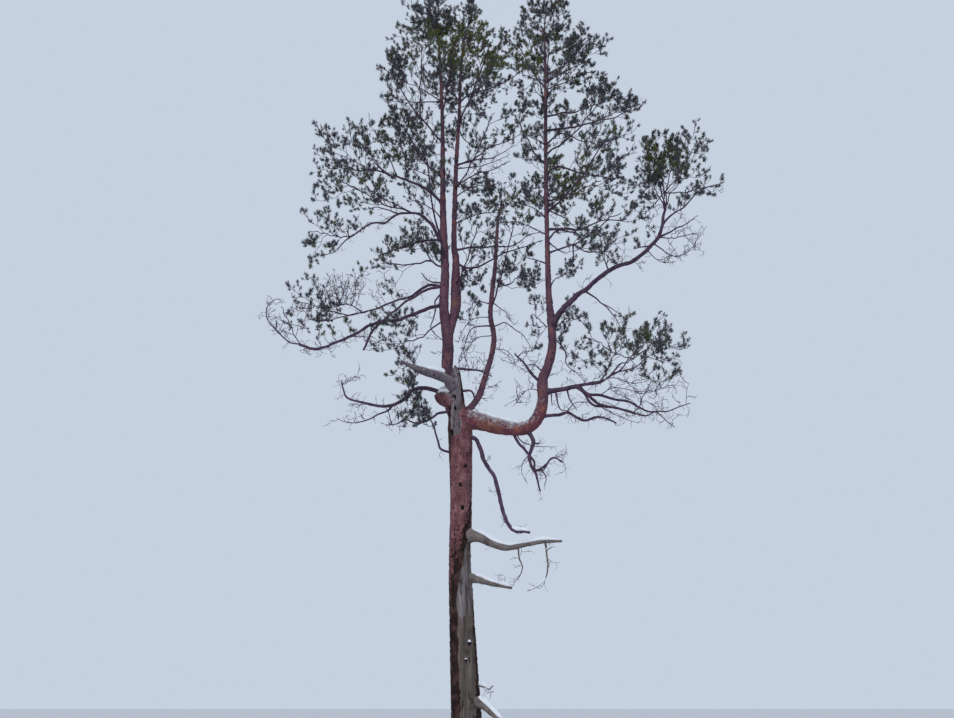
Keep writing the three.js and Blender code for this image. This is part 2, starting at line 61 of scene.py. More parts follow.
MM = 0.001
ROOT_RADIUS = 360
BREAST = 1300
BREAST_RADIUS = 258
FORK_HEIGHT = 6400
FORK_RADIUS = 228
SNAG_HEIGHT = 7600
FLARE_RIBS = 5
FLARE_DEPTH = 0.16
FLARE_FADE = 0.42

STEM_FIRST_RADIUS = 0.014
STEM_RADIUS_SHARE = 0.009
STEM_WIDEST = 0.9
STEM_TAPER = (1, 0.85, 0.7, 0.55)
STEM_LEAST_RADIUS = 0.012
STEM_SAG = 0.07
STEM_REACH = 0.45
BRANCH_SHARE = 0.3
BRANCH_RADIUS = 0.8
TWIGS_PER_SQUARE_METRE = 2.1
FEWEST_TWIGS = 2
TWIG_FIRST_SHARE = 0.25
TWIG_LEAD = 0.35
TWIG_REACH = 0.92
TWIG_REACH_SPREAD = 0.1
FAN_DEPTH = 1.5
FAN_FIRST = 0.3
FAN_UNEVEN = 0.6
FIRST_SEED = 1000
SEED_STEP = 37
GOLDEN_ANGLE = math.pi * (3 - math.sqrt(5))

# Wood too fine for the solids: its radii, the thickest first
THIN_WOOD = 0.0075
LEAFY_FROND, LEADER_FROND, BARE_FROND, FROND_END = 0.0074, 0.0072, 0.0066, 0.0040
LEAFY_RADII = (0.006, 0.004)
BARE_RADII = (0.0056, 0.0044, 0.0036)
SHOOT_RADII = (0.004, 0.003)
SLIM_STEM = 0.62
# How far courses wander
LIMB_CROOK, BOUGH_CROOK = 0.026, 0.022
STEM_STRAY, FROND_STRAY, SHOOT_STRAY = 0.012, 0.018, 0.12
LEAFY_STRAY, BARE_STRAY, CURL_STRAY = 0.14, 0.14, 0.09
# Fronds: points in each, by how much of their length they sway twice and sag, and their longest twigs
FROND_POINTS = 8
FROND_SWAYS = ((0.04, 0.12), (0.02, 0.07))
FROND_SAG = 0.05
LONGEST_LEAFY, LONGEST_BARE = 0.34, 0.4
# Dead twigs: the length of a part, how much they curl, and the forks on them
BARE_PART = 0.04
CURLS = (0.15, 0.6)
FORK_CHANCE = 0.85
FORK_ANGLES = (0.6, 1.1)
FORK_LENGTHS = (0.35, 0.65)
# Shoots: a step apart, their lengths, angle and upward turn, and how deep in a space they may end
SHOOT_STEP = 0.05
SHOOT_LENGTHS = (0.05, 0.09)
SHOOT_ANGLE = 0.9
SHOOT_LIFT, TUFT_LIFT = 0.35, 0.2
SHOOT_SKIN, TWIG_SKIN = 1.04, 1.02
HIGHEST_SHOOT = 16.4
TUFT_SIZES = (0.8, 1.2)
ALL_ROUND = (0, 6.28)

# Needles: pairs in a tuft, the length and width of each, how far they open, in degrees, from the
# tuft's first to its last, how far the two of a pair stand apart, and how large tufts are
PAIRS = 23
NEEDLE = 0.046
NEEDLE_WIDTH = 0.0090
TUFT_LENGTH = 0.042
FIRST_OPEN, LAST_OPEN, OPEN_SPREAD = 105, 30, 18
PAIR_OPEN = 0.13
SMALL_TUFT, LARGE_TUFT, LARGE_SHARE = 0.92, 1.3, 0.4
# Tufts that are meshed together, the most triangles in one piece, and the share of tufts that fell
TUFT_GROUP = 400
MOST_TRIANGLES = 190000
USUAL_FALL = 0.22

# Seeds of the random draws
LEADER_SEED, BOUGH_SEED, END_SEED, DEAD_SEED, FALL_SEED, NEEDLE_SEED = 2000, 3000, 4000, 5000, 76, 77

CAMERA_PLACE = (0.148, -17.8, 1.6)
CAMERA_PITCH = math.radians(19.05)
PHOTO_WIDTH, PHOTO_HEIGHT = 954, 718
FOCAL_PIXELS = 990
SENSOR_WIDTH = 36

# Limbs: name, the limb each is on, the share of that limb's length where it leaves, its radius
# there, and its knots: x, y, z and radius

LIMBS = (
    ("trunk", None, 0, 0, ((0, 0, 0, ROOT_RADIUS), (0, 0, 350, 300), (-30, 0, BREAST, BREAST_RADIUS),
     (-115, 0, 2930, 216), (-150, 0, 3965, 200), (-140, 0, 5040, 195), (-155, 0, 5970, 218),
     (-170, 0, FORK_HEIGHT, FORK_RADIUS), (-225, 0, 6835, 150), (-252, 0, 7230, 123), (-260, 0, 7465, 90),
     (-275, 0, SNAG_HEIGHT, 26))),
    ("broken_limb", "trunk", 0.78, 95, ((-380, -130, 7265, 92), (-580, -200, 7360, 79), (-915, -270, 7465, 65),
     (-1250, -330, 7575, 46))),
    ("old_stub", "trunk", 0.73, 120, ((-470, -30, 6880, 112), (-520, -40, 7030, 84))),
    ("snag_limb", "trunk", 0.965, 28, ((-130, -50, 7540, 26), (20, -90, 7500, 22), (210, -150, 7440, 18),
     (420, -220, 7310, 12))),
    ("left_leader", "trunk", 0.668, 150, ((-440, 270, 7015, 140), (-460, 380, 7550, 116),
     (-420, 385, 8165, 104), (-500, 345, 9035, 82), (-490, 320, 9740, 74), (-545, 280, 11055, 61),
     (-575, 250, 12910, 42), (-635, 250, 14390, 30), (-690, 250, 15250, 22))),
    ("middle_leader", "left_leader", 0.34, 80, ((-300, 420, 9060, 74), (-275, 430, 9960, 62),
     (-320, 430, 10450, 56), (-290, 420, 12060, 46), (-235, 420, 13310, 37), (-200, 430, 14510, 28),
     (-130, 440, 15350, 22))),
    ("curved_leader", "trunk", 0.67, 75, ((130, 250, 6990, 62), (285, 400, 7435, 58), (480, 500, 8275, 55),
     (415, 520, 8915, 48), (510, 500, 9865, 42), (580, 500, 10940, 31), (665, 520, 11285, 25))),
    ("arm", "trunk", 0.668, 185, ((165, -40, 6515, 176), (575, -100, 6390, 150), (905, -160, 6330, 122),
     (1105, -200, 6365, 114))),
    ("right_leader", "arm", 1, 113, ((1270, -240, 6535, 110), (1365, -280, 6850, 106), (1365, -300, 7230, 102),
     (1470, -320, 7500, 90), (1560, -350, 7905, 80), (1540, -360, 8440, 73), (1515, -370, 9010, 58),
     (1510, -400, 10160, 47), (1515, -400, 11365, 42), (1545, -400, 12970, 35), (1565, -400, 14420, 24),
     (1545, -400, 14950, 22))),
    ("east_bough", "right_leader", 0.475, 64, ((1755, -400, 8590, 58), (2105, -450, 8915, 47),
     (2645, -520, 9340, 43), (3105, -560, 9530, 38), (3455, -600, 9805, 37), (3665, -620, 10115, 34),
     (3780, -620, 10630, 25))),
    ("south_east_bough", "right_leader", 0.2, 56, ((1675, -380, 7020, 46), (1985, -460, 7055, 42),
     (2255, -500, 7090, 28), (2545, -560, 7205, 24), (2760, -620, 7420, 20))),
    ("drooping_bough", "south_east_bough", 0.4, 32, ((2275, -540, 6760, 26), (2590, -580, 6625, 23),
     (3000, -660, 6480, 20))),
    ("right_dead_bough", "right_leader", 0.085, 36, ((1575, -320, 6550, 30), (1810, -380, 6570, 27),
     (2090, -440, 6440, 25), (2360, -500, 6480, 22), (2670, -560, 6325, 15))),
    ("tangle_limb", "arm", 0.93, 32, ((1175, -260, 6040, 27), (1095, -320, 5745, 25), (1185, -380, 5510, 22),
     (1365, -420, 5585, 18), (1490, -460, 5700, 15), (1665, -500, 5645, 10))),
    ("hanging_limb", "trunk", 0.6, 56, ((130, -120, 6120, 50), (275, -240, 5745, 45), (470, -340, 5355, 41),
     (575, -400, 4895, 37), (690, -440, 4530, 34), (830, -460, 4400, 31), (1090, -480, 4370, 22))),
    ("snow_limb", "trunk", 0.4, 112, ((165, -100, 4365, 92), (450, -200, 4220, 71), (695, -280, 4145, 56),
     (970, -360, 4180, 44), (1300, -440, 4225, 34), (1625, -500, 4225, 20))),
    ("low_dead_limb", "trunk", 0.337, 82, ((200, -80, 3610, 64), (445, -150, 3530, 44), (755, -220, 3455, 20))),
    ("foot_limb", "trunk", 0.203, 90, ((230, -140, 1550, 72), (400, -220, 1410, 56), (580, -300, 1270, 24))),
    ("west_low_bough", "left_leader", 0.44, 40, ((-875, 260, 8875, 36), (-1350, 140, 8605, 33),
     (-1765, 40, 8505, 31), (-2275, -100, 8175, 28), (-2845, -240, 7865, 23), (-3200, -320, 7900, 18))),
    ("west_mid_bough", "left_leader", 0.504, 42, ((-830, 380, 9420, 40), (-1290, 450, 9200, 34),
     (-1830, 500, 9005, 28), (-2385, 550, 8850, 22))),
    ("west_high_bough", "left_leader", 0.6, 50, ((-720, 200, 10595, 46), (-1005, 100, 10870, 42),
     (-1340, 20, 10855, 36), (-1665, -60, 10595, 30), (-1975, -140, 10525, 26), (-2350, -200, 10200, 20))),
    ("west_top_bough", "left_leader", 0.675, 41, ((-820, 330, 11525, 35), (-1160, 400, 11755, 31),
     (-1540, 440, 11900, 27), (-1950, 480, 12080, 21))),
    ("west_dead_bough", "left_leader", 0.14, 48, ((-780, 100, 7200, 40), (-1040, 20, 7160, 38),
     (-1220, -60, 6940, 35), (-1545, -140, 6790, 30), (-1925, -220, 6815, 24), (-2255, -280, 6900, 18),
     (-2375, -320, 7205, 11))),
)

# Masses of foliage: name, limb, share of its length, how many fronds stand where the solids have
# one, and the round spaces that each fills: centre, half sizes, and BARE where no needles grow

LEAFY, BARE = True, False
MASSES = (
    ("foliage_west_top", "left_leader", 0.985, 4.5, (-900, 100, 15700, 480, 800, 710)),
    ("foliage_middle_top", "middle_leader", 0.985, 3.4, (-150, 600, 15950, 480, 800, 740)),
    ("foliage_middle_upper", "middle_leader", 0.7, 2.9, (350, -1000, 13900, 480, 910, 630)),
    ("foliage_west_upper", "left_leader", 0.76, 1.6, (-1650, 500, 14400, 400, 800, 710),
     (-950, -1300, 13500, 430, 910, 570)),
    ("foliage_rear_upper", "middle_leader", 0.76, 2.3, (-550, 1700, 15350, 630, 910, 710)),
    ("foliage_front_upper", "left_leader", 0.8, 3, (-350, -900, 13950, 480, 680, 570)),
    ("foliage_west_rear", "left_leader", 0.71, 2.6, (-1450, 1500, 13700, 710, 1030, 710)),
    ("foliage_far_west", "west_top_bough", 0.985, 2.0, (-2500, 500, 12350, 950, 1030, 650)),
    ("foliage_west_band", "west_high_bough", 0.42, 2, (-2200, -300, 11200, 940, 910, 430)),
    ("foliage_west_low", "west_high_bough", 0.985, 2, (-2850, -300, 10250, 570, 800, 660)),
    ("foliage_west_inner", "left_leader", 0.56, 1.6, (-1150, 1900, 11200, 570, 910, 660),
     (-1750, 1200, 10300, 280, 680, 660)),
    ("foliage_west_middle", "west_mid_bough", 0.98, 1.4, (-3100, 500, 9050, 770, 910, 660),
     (-2450, 100, 9300, 680, 680, 370, BARE)),
    ("foliage_rear_low", "left_leader", 0.4, 1.6, (-1350, 1300, 8550, 710, 910, 570)),
    ("foliage_west_front", "left_leader", 0.58, 1.8, (-800, -1600, 11100, 430, 910, 460)),
    ("foliage_middle_front", "middle_leader", 0.53, 1.1, (350, -900, 12250, 570, 910, 660)),
    ("foliage_middle_rear", "middle_leader", 0.55, 1.6, (100, 2200, 12700, 510, 910, 660)),
    ("foliage_middle_low", "middle_leader", 0.2, 2.4, (100, -900, 9900, 370, 800, 570),
     (50, 900, 9750, 340, 570, 430)),
    ("foliage_curved_tip", "curved_leader", 0.985, 2.2, (650, 600, 11700, 460, 800, 480)),
    ("foliage_curved_low", "curved_leader", 0.58, 2.2, (800, -700, 10000, 480, 800, 510),
     (1000, 1500, 10100, 600, 800, 340)),
    ("foliage_right_top", "right_leader", 0.985, 3.5, (1600, -400, 15300, 570, 800, 660)),
    ("foliage_right_inner", "right_leader", 0.86, 2.3, (1050, 400, 15200, 480, 800, 680)),
    ("foliage_right_shoulder", "right_leader", 0.87, 3, (2300, -700, 14300, 570, 910, 600)),
    ("foliage_right_front", "right_leader", 0.82, 1.9, (1550, -1500, 13550, 540, 800, 460)),
    ("foliage_right_rear", "right_leader", 0.84, 1.2, (1550, 1100, 14750, 600, 910, 680)),
    ("foliage_right_upper", "right_leader", 0.78, 2.0, (2620, -300, 13150, 900, 880, 420)),
    ("foliage_right_between", "right_leader", 0.77, 1.2, (1050, 1100, 13700, 570, 910, 740)),
    ("foliage_right_middle", "right_leader", 0.7, 2.0, (2450, -1900, 11250, 710, 1030, 510)),
    ("foliage_right_back", "right_leader", 0.73, 2.2, (1650, 1700, 12400, 680, 1030, 570)),
    ("foliage_right_long", "right_leader", 0.72, 1.9, (2500, 200, 11600, 940, 910, 430)),
    ("foliage_right_low", "right_leader", 0.64, 1.4, (2500, -1600, 9850, 740, 910, 340),
     (2400, -2000, 9050, 540, 680, 260), (2100, 700, 10100, 340, 680, 430)),
    ("foliage_east", "east_bough", 0.985, 2.1, (3800, -600, 11600, 540, 1030, 630),
     (4450, -400, 12000, 430, 910, 660), (4650, -500, 11150, 370, 400, 200),
     (3400, -700, 10500, 310, 570, 480)),
    ("foliage_south_east", "south_east_bough", 0.985, 2, (3350, -600, 7800, 700, 1030, 640),
     (2350, -1000, 7700, 630, 910, 510)),
    ("foliage_bend", "right_leader", 0.47, 2, (1300, -100, 8550, 230, 570, 660)),
    ("foliage_low_west", "west_dead_bough", 0.4, 2.6, (-1100, -100, 6950, 370, 800, 600)),
    ("twigs_far_west", "west_low_bough", 0.98, 2, (-3450, -400, 8450, 480, 570, 510, BARE)),
    ("twigs_south_east", "drooping_bough", 0.98, 2, (3200, -700, 6900, 740, 680, 400, BARE)),
    ("twigs_east", "east_bough", 0.8, 2, (4100, -700, 10000, 480, 570, 540, BARE)),
)

# Finer boughs: the limb or bough each is on, radii at its start and its end in millimetres, how far
# it drifts away from the viewer, how many side twigs it has to a metre, whether they bear needles,
# and its course as the usual view shows it, in pixels of that view

BOUGHS = (
    ("b1", "curved_leader", 15, 5, -0.3, 7, BARE, ((490, 327), (480, 327), (472, 329), (468, 335), (465, 345),
     (461, 355), (459, 365))),
    ("b2", "curved_leader", 13, 5, 0.5, 7, BARE, ((496, 327), (505, 323), (515, 330), (525, 337), (533, 352))),
    ("b3", "curved_leader", 12, 5, 0.4, 7, BARE, ((489, 303), (480, 302), (474, 308), (470, 325))),
    ("b4", "curved_leader", 12, 5, -0.4, 7, BARE, ((492, 302), (500, 308), (515, 324))),
    ("b5", "trunk", 26, 10, -0.2, 4, BARE, ((458, 391), (470, 391), (474, 397), (474, 408))),
    ("d1", "east_bough", 20, 7, 0.3, 6, BARE, ((655, 236), (675, 229), (685, 225), (697, 216))),
    ("d2", "east_bough", 20, 7, -0.5, 6, LEAFY, ((662, 224), (668, 218), (677, 211), (688, 203), (698, 192),
     (708, 187), (720, 184))),
    ("d3", "east_bough", 12, 4, 0.2, 7, BARE, ((655, 245), (662, 249), (668, 254), (677, 256), (685, 253),
     (693, 247), (697, 240), (699, 230))),
    ("d4", "east_bough", 10, 4, -0.2, 7, BARE, ((650, 253), (657, 259), (665, 262), (668, 258))),
    ("d5", "east_bough", 16, 7, 0.4, 6, LEAFY, ((651, 247), (643, 247), (635, 249))),
    ("d6", "east_bough", 14, 6, -0.3, 6, LEAFY, ((608, 270), (606, 262), (605, 252))),
    ("d7", "east_bough", 18, 6, -0.3, 6, BARE, ((585, 292), (595, 298), (602, 304), (608, 310), (615, 318),
     (620, 326), (626, 332))),
    ("d8", "d7", 10, 4, 0.2, 7, BARE, ((603, 304), (612, 309), (628, 320))),
    ("e2", "south_east_bough", 30, 8, 0.5, 6, BARE, ((580, 391), (587, 394), (600, 395), (615, 399), (630, 402),
     (640, 407), (650, 411), (660, 412), (670, 411), (680, 406), (690, 403))),
    ("e3", "south_east_bough", 27, 7, -0.4, 6, BARE, ((581, 394), (588, 400), (595, 405), (605, 406),
     (620, 409), (640, 414), (648, 416), (655, 413), (665, 420), (675, 427))),
    ("e4", "right_leader", 15, 6, -0.3, 6, BARE, ((552, 334), (557, 341), (563, 347), (566, 353), (565, 361),
     (568, 367), (577, 373), (586, 383))),
    ("e5", "south_east_bough", 14, 8, -0.1, 3, BARE, ((551, 394), (552, 405))),
    ("e6", "south_east_bough", 16, 6, -0.2, 5, BARE, ((556, 394), (559, 408), (567, 411))),
    ("e7", "south_east_bough", 15, 6, 0.1, 5, BARE, ((568, 393), (570, 400), (578, 411))),
    ("c1", "right_leader", 28, 9, -0.3, 6, BARE, ((540, 384), (530, 372), (525, 365), (518, 358), (515, 354))),
    ("c2", "c1", 10, 4, 0.3, 6, BARE, ((518, 357), (524, 352), (532, 352))),
    ("c3", "right_leader", 16, 5, 0.3, 7, BARE, ((543, 372), (533, 365), (523, 365))),
    ("h1", "arm", 27, 9, 0.2, 5, BARE, ((511, 433), (517, 441), (525, 450), (529, 455), (534, 462), (534, 468),
     (537, 471), (543, 470), (547, 465), (551, 459), (555, 458), (562, 461))),
    ("h2", "tangle_limb", 14, 6, 0.1, 5, BARE, ((539, 470), (543, 472), (546, 478), (545, 485))),
    ("h4", "tangle_limb", 26, 14, 0.05, 4, BARE, ((534, 468), (536, 474), (537, 480), (538, 486), (540, 492))),
    ("h5", "tangle_limb", 14, 10, 0.1, 1, BARE, ((533, 443), (537, 444), (540, 443))),
    ("h3", "arm", 13, 4, 0.5, 6, BARE, ((514, 435), (520, 440), (530, 445), (540, 447), (557, 447))),
    ("j1", "snow_limb", 18, 7, -0.1, 5, BARE, ((545, 541), (547, 552), (547, 567), (545, 578), (540, 585),
     (527, 592))),
    ("j2", "j1", 10, 5, -0.2, 5, BARE, ((546, 550), (550, 548), (555, 546))),
    ("j3", "snow_limb", 14, 6, 0.1, 6, BARE, ((518, 545), (520, 560), (522, 568), (519, 577), (513, 583))),
    ("w1", "west_top_bough", 18, 7, 0.3, 6, LEAFY, ((372, 172), (356, 170), (338, 162), (328, 152))),
    ("w2", "west_high_bough", 18, 7, -0.3, 6, LEAFY, ((411, 216), (405, 209), (395, 204), (380, 197))),
    ("w3", "west_high_bough", 16, 6, 0.4, 6, LEAFY, ((400, 217), (380, 208), (366, 209))),
    ("w4", "west_high_bough", 16, 6, -0.3, 6, LEAFY, ((354, 237), (345, 241), (340, 247), (333, 253),
     (320, 254))),
    ("w5", "left_leader", 24, 8, -0.5, 6, LEAFY, ((441, 240), (425, 241), (410, 245), (395, 250), (378, 255))),
    ("w6", "left_leader", 30, 21, -0.7, 6, LEAFY, ((440, 286), (428, 290), (410, 299), (400, 306), (380, 323))),
    ("w7", "west_low_bough", 17, 6, -0.3, 7, BARE, ((320, 349), (310, 348), (300, 345), (290, 343), (283, 337),
     (275, 329), (269, 322), (267, 313), (269, 304), (275, 299), (281, 299))),
    ("w8", "west_low_bough", 27, 19, -0.2, 7, BARE, ((380, 323), (373, 332), (369, 340), (364, 350))),
    ("w9", "west_low_bough", 12, 5, 0.3, 7, BARE, ((350, 337), (361, 336), (367, 338))),
    ("w10", "left_leader", 18, 6, -0.6, 6, BARE, ((440, 290), (436, 300), (435, 312), (431, 325), (435, 333),
     (442, 340))),
    ("w11", "left_leader", 20, 8, 0.4, 5, BARE, ((441, 284), (428, 280), (421, 273))),
    ("w12", "left_leader", 15, 6, 0.3, 5, BARE, ((440, 100), (430, 94), (418, 87), (407, 84))),
    ("w13", "left_leader", 14, 6, -0.3, 5, BARE, ((441, 104), (428, 102), (416, 102), (405, 99))),
    ("g1", "west_dead_bough", 18, 6, 0.3, 7, BARE, ((393, 404), (387, 411), (380, 414), (370, 418), (362, 421),
     (355, 423), (345, 422), (337, 418))),
    ("g2", "trunk", 28, 7, -0.2, 6, BARE, ((449, 411), (440, 413), (434, 417), (425, 422), (415, 424),
     (405, 420), (397, 424), (386, 426))),
    ("g3", "g2", 10, 4, 0.3, 7, BARE, ((392, 425), (389, 415), (384, 405), (382, 400))),
    ("g4", "trunk", 24, 8, -0.3, 5, LEAFY, ((449, 456), (442, 450), (438, 443), (435, 435), (433, 426),
     (430, 420), (424, 411), (421, 402))),
    ("m1", "middle_leader", 18, 6, -0.6, 5, LEAFY, ((457, 101), (470, 94), (485, 90), (500, 84), (510, 79),
     (521, 72))),
    ("m2", "middle_leader", 20, 6, 0.6, 5, LEAFY, ((457, 164), (470, 161), (480, 155), (487, 149), (500, 144),
     (513, 138), (520, 134))),
    ("m3", "middle_leader", 18, 6, -0.7, 6, BARE, ((457, 166), (475, 160), (490, 158), (500, 154), (513, 146))),
    ("m4", "middle_leader", 14, 5, 0.4, 6, LEAFY, ((458, 130), (465, 140), (473, 146), (481, 153))),
    ("m5", "middle_leader", 24, 7, -0.6, 6, BARE, ((457, 262), (465, 267), (475, 268), (485, 263), (500, 256),
     (515, 250), (530, 245), (542, 240))),
    ("m6", "middle_leader", 22, 7, 0.6, 6, BARE, ((457, 250), (465, 248), (480, 247), (495, 247), (510, 246),
     (518, 243), (530, 235), (540, 231))),
    ("m7", "middle_leader", 15, 5, -0.2, 6, BARE, ((457, 188), (466, 180), (480, 173), (492, 170), (504, 165),
     (511, 162))),
    ("m8", "middle_leader", 12, 5, 0.2, 6, BARE, ((457, 170), (470, 167), (484, 165), (500, 159), (508, 156))),
    ("c4", "right_leader", 18, 7, -0.5, 5, LEAFY, ((547, 82), (562, 73), (590, 60))),
    ("c5", "right_leader", 14, 6, 0.5, 5, LEAFY, ((547, 100), (555, 86), (570, 70))),
    ("c6", "right_leader", 20, 7, 0.6, 5, LEAFY, ((548, 117), (575, 111), (600, 103))),
    ("c7", "right_leader", 24, 7, -0.5, 5, LEAFY, ((548, 128), (570, 127), (590, 123), (615, 117), (636, 110))),
    ("c8", "right_leader", 18, 7, -0.4, 5, LEAFY, ((548, 142), (560, 133), (580, 140), (595, 144))),
    ("c9", "right_leader", 26, 8, 0.4, 5, LEAFY, ((548, 172), (558, 167), (572, 170), (590, 175), (620, 178))),
    ("c10", "right_leader", 18, 7, -0.6, 5, LEAFY, ((548, 207), (562, 217), (578, 228))),
    ("c11", "right_leader", 26, 8, -0.5, 6, LEAFY, ((548, 229), (565, 229), (580, 229), (600, 222),
     (623, 220))),
    ("c12", "right_leader", 20, 7, 0.6, 6, LEAFY, ((548, 238), (560, 231), (588, 236))),
    ("c13", "right_leader", 16, 6, -0.3, 6, BARE, ((548, 239), (559, 251), (566, 254))),
    ("c14", "right_leader", 17, 6, -0.5, 6, LEAFY, ((547, 146), (537, 139), (525, 134))),
    ("c15", "right_leader", 13, 6, 0.4, 6, LEAFY, ((547, 102), (540, 95), (534, 88))),
    ("c16", "right_leader", 16, 6, 0.3, 6, LEAFY, ((547, 266), (536, 260), (525, 256))),
    ("n1", "west_top_bough", 13, 5, -0.3, 9, LEAFY, ((397, 177), (391, 163), (384, 150), (378, 137),
     (371, 126))),
    ("n2", "west_top_bough", 13, 5, 0.4, 9, LEAFY, ((408, 181), (406, 165), (402, 150), (400, 135),
     (394, 122))),
    ("n3", "west_top_bough", 12, 5, 0.2, 9, LEAFY, ((384, 173), (374, 161), (367, 149), (362, 137),
     (356, 128))),
    ("n4", "west_top_bough", 11, 5, -0.5, 9, LEAFY, ((391, 175), (380, 167), (370, 155), (362, 146))),
    ("n5", "east_bough", 13, 5, -0.4, 10, LEAFY, ((663, 205), (655, 190), (650, 176), (646, 162), (645, 150))),
    ("n6", "east_bough", 13, 5, 0.3, 10, LEAFY, ((664, 199), (660, 184), (658, 169), (655, 155), (652, 144))),
    ("n7", "east_bough", 13, 5, -0.2, 10, LEAFY, ((664, 199), (668, 184), (671, 170), (675, 156), (678, 144))),
    ("n8", "east_bough", 12, 5, 0.5, 10, LEAFY, ((664, 202), (671, 193), (679, 183), (686, 172))),
    ("n9", "right_leader", 14, 5, -0.5, 9, LEAFY, ((548, 208), (556, 200), (566, 194), (577, 190))),
    ("n10", "right_leader", 14, 5, 0.4, 9, LEAFY, ((547, 198), (555, 190), (566, 182), (580, 178))),
    ("n11", "right_leader", 14, 5, -0.4, 9, LEAFY, ((547, 218), (536, 210), (523, 204), (510, 201))),
    ("n12", "right_leader", 14, 5, 0.4, 9, LEAFY, ((547, 236), (534, 229), (520, 223), (507, 222))),
    ("n13", "right_leader", 13, 5, -0.3, 9, LEAFY, ((553, 331), (560, 323), (568, 318), (577, 319))),
    ("n14", "right_leader", 13, 5, 0.3, 9, LEAFY, ((552, 322), (561, 315), (569, 308), (573, 300))),
    ("n15", "west_mid_bough", 13, 5, -0.3, 9, LEAFY, ((356, 312), (342, 317), (328, 321), (316, 318),
     (307, 313))),
    ("n16", "west_mid_bough", 13, 5, 0.3, 9, LEAFY, ((362, 311), (350, 304), (337, 306), (324, 311))),
    ("n17", "south_east_bough", 14, 5, -0.3, 10, LEAFY, ((613, 382), (621, 370), (629, 358), (637, 348),
     (643, 338))),
    ("n18", "south_east_bough", 14, 5, 0.3, 10, LEAFY, ((600, 386), (605, 373), (611, 361), (619, 350),
     (627, 342))),
    ("n19", "south_east_bough", 13, 5, 0.1, 10, LEAFY, ((618, 379), (631, 369), (643, 361), (655, 352),
     (664, 343))),
    ("n20", "c7", 11, 5, 0.2, 9, LEAFY, ((598, 121), (611, 114), (624, 108), (636, 106))),
    ("n21", "right_leader", 13, 5, -0.3, 9, LEAFY, ((547, 76), (560, 67), (573, 59), (586, 53))),
    ("n22", "right_leader", 13, 5, 0.4, 9, LEAFY, ((547, 92), (562, 83), (577, 76), (590, 72))),
    ("n23", "middle_leader", 13, 5, -0.4, 9, LEAFY, ((458, 96), (470, 87), (481, 79), (492, 74))),
    ("n24", "left_leader", 14, 5, -0.4, 9, LEAFY, ((442, 203), (430, 192), (418, 184), (404, 180))),
    ("n25", "left_leader", 14, 5, 0.4, 9, LEAFY, ((442, 186), (431, 178), (419, 171), (406, 167))),
    ("n26", "left_leader", 14, 5, -0.6, 9, LEAFY, ((442, 218), (430, 209), (418, 202), (406, 198))),
    ("n27", "right_leader", 12, 5, 0.4, 8, LEAFY, ((548, 288), (556, 279), (566, 273), (576, 269))),
    ("n28", "middle_leader", 14, 5, 0.3, 9, LEAFY, ((457, 196), (468, 190), (481, 186), (494, 184))),
    ("n29", "middle_leader", 14, 5, -0.5, 9, LEAFY, ((457, 226), (468, 218), (480, 213), (492, 212))),
    ("k1", "curved_leader", 9, 4, 0.3, 9, BARE, ((490, 318), (479, 317), (470, 321), (463, 331), (458, 344))),
    ("k2", "curved_leader", 9, 4, -0.3, 9, BARE, ((489, 336), (478, 338), (470, 346), (466, 358), (470, 368))),
    ("k3", "curved_leader", 9, 4, 0.3, 9, BARE, ((486, 352), (494, 348), (504, 350), (512, 357), (516, 367))),
    ("k4", "right_leader", 9, 4, -0.3, 9, BARE, ((541, 394), (534, 389), (527, 390), (520, 396), (515, 405))),
    ("k5", "south_east_bough", 12, 4, -0.3, 9, BARE, ((585, 388), (600, 380), (615, 378), (632, 383),
     (648, 381))),
    ("k6", "e2", 9, 4, 0.3, 9, BARE, ((600, 395), (612, 388), (627, 389), (642, 394), (656, 391))),
    ("k7", "e3", 9, 4, -0.3, 9, BARE, ((600, 405), (612, 413), (627, 420), (640, 423))),
    ("k8", "right_dead_bough", 9, 4, -0.3, 9, BARE, ((566, 411), (575, 404), (588, 403), (600, 407))),
    ("k9", "tangle_limb", 9, 4, 0.2, 9, BARE, ((530, 455), (523, 462), (521, 472), (526, 482))),
    ("knot_high", "trunk", 40, 26, -0.32, 1, BARE, ((468, 646), (469, 644), (470, 643))),
    ("knot_low", "trunk", 36, 22, -0.32, 1, BARE, ((466, 663), (466, 661), (467, 660))),
    ("fork_stub", "trunk", 22, 12, -0.25, 4, BARE, ((479, 680), (484, 686), (489, 689), (493, 686))),
    ("fork_tine", "fork_stub", 14, 8, -0.1, 4, BARE, ((484, 686), (488, 692), (494, 692))),
)


# The view's camera, and places by its pixels

PITCH_COS, PITCH_SIN = math.cos(CAMERA_PITCH), math.sin(CAMERA_PITCH)


def at_pixel(u, v, y):
    """The point on the plane of that depth that the pixel shows."""
    aside = (u - PHOTO_WIDTH / 2) / FOCAL_PIXELS
    up = (PHOTO_HEIGHT / 2 - v) / FOCAL_PIXELS
    x, near, z = CAMERA_PLACE
    far = (y - near) / (PITCH_COS - up * PITCH_SIN)
    return np.array((x + far * aside, y, z + far * (PITCH_SIN + up * PITCH_COS)))


def to_pixel(points):
    """The pixels that show these points."""
    x, y, z = (np.asarray(points) - CAMERA_PLACE).T
    far = y * PITCH_COS + z * PITCH_SIN
    up = z * PITCH_COS - y * PITCH_SIN
    return np.stack((PHOTO_WIDTH / 2 + FOCAL_PIXELS * x / far, PHOTO_HEIGHT / 2 - FOCAL_PIXELS * up / far), -1)


# Courses and even spreads

def unit(v):
    """Vectors in the same directions, of length 1."""
    v = np.asarray(v, float)
    return v / np.maximum(np.linalg.norm(v, axis=-1, keepdims=True), 1e-9)


def run_along(points):
    """How far along its line each point is."""
    return np.concatenate(((0,), np.cumsum(np.linalg.norm(np.diff(points, axis=0), axis=1))))


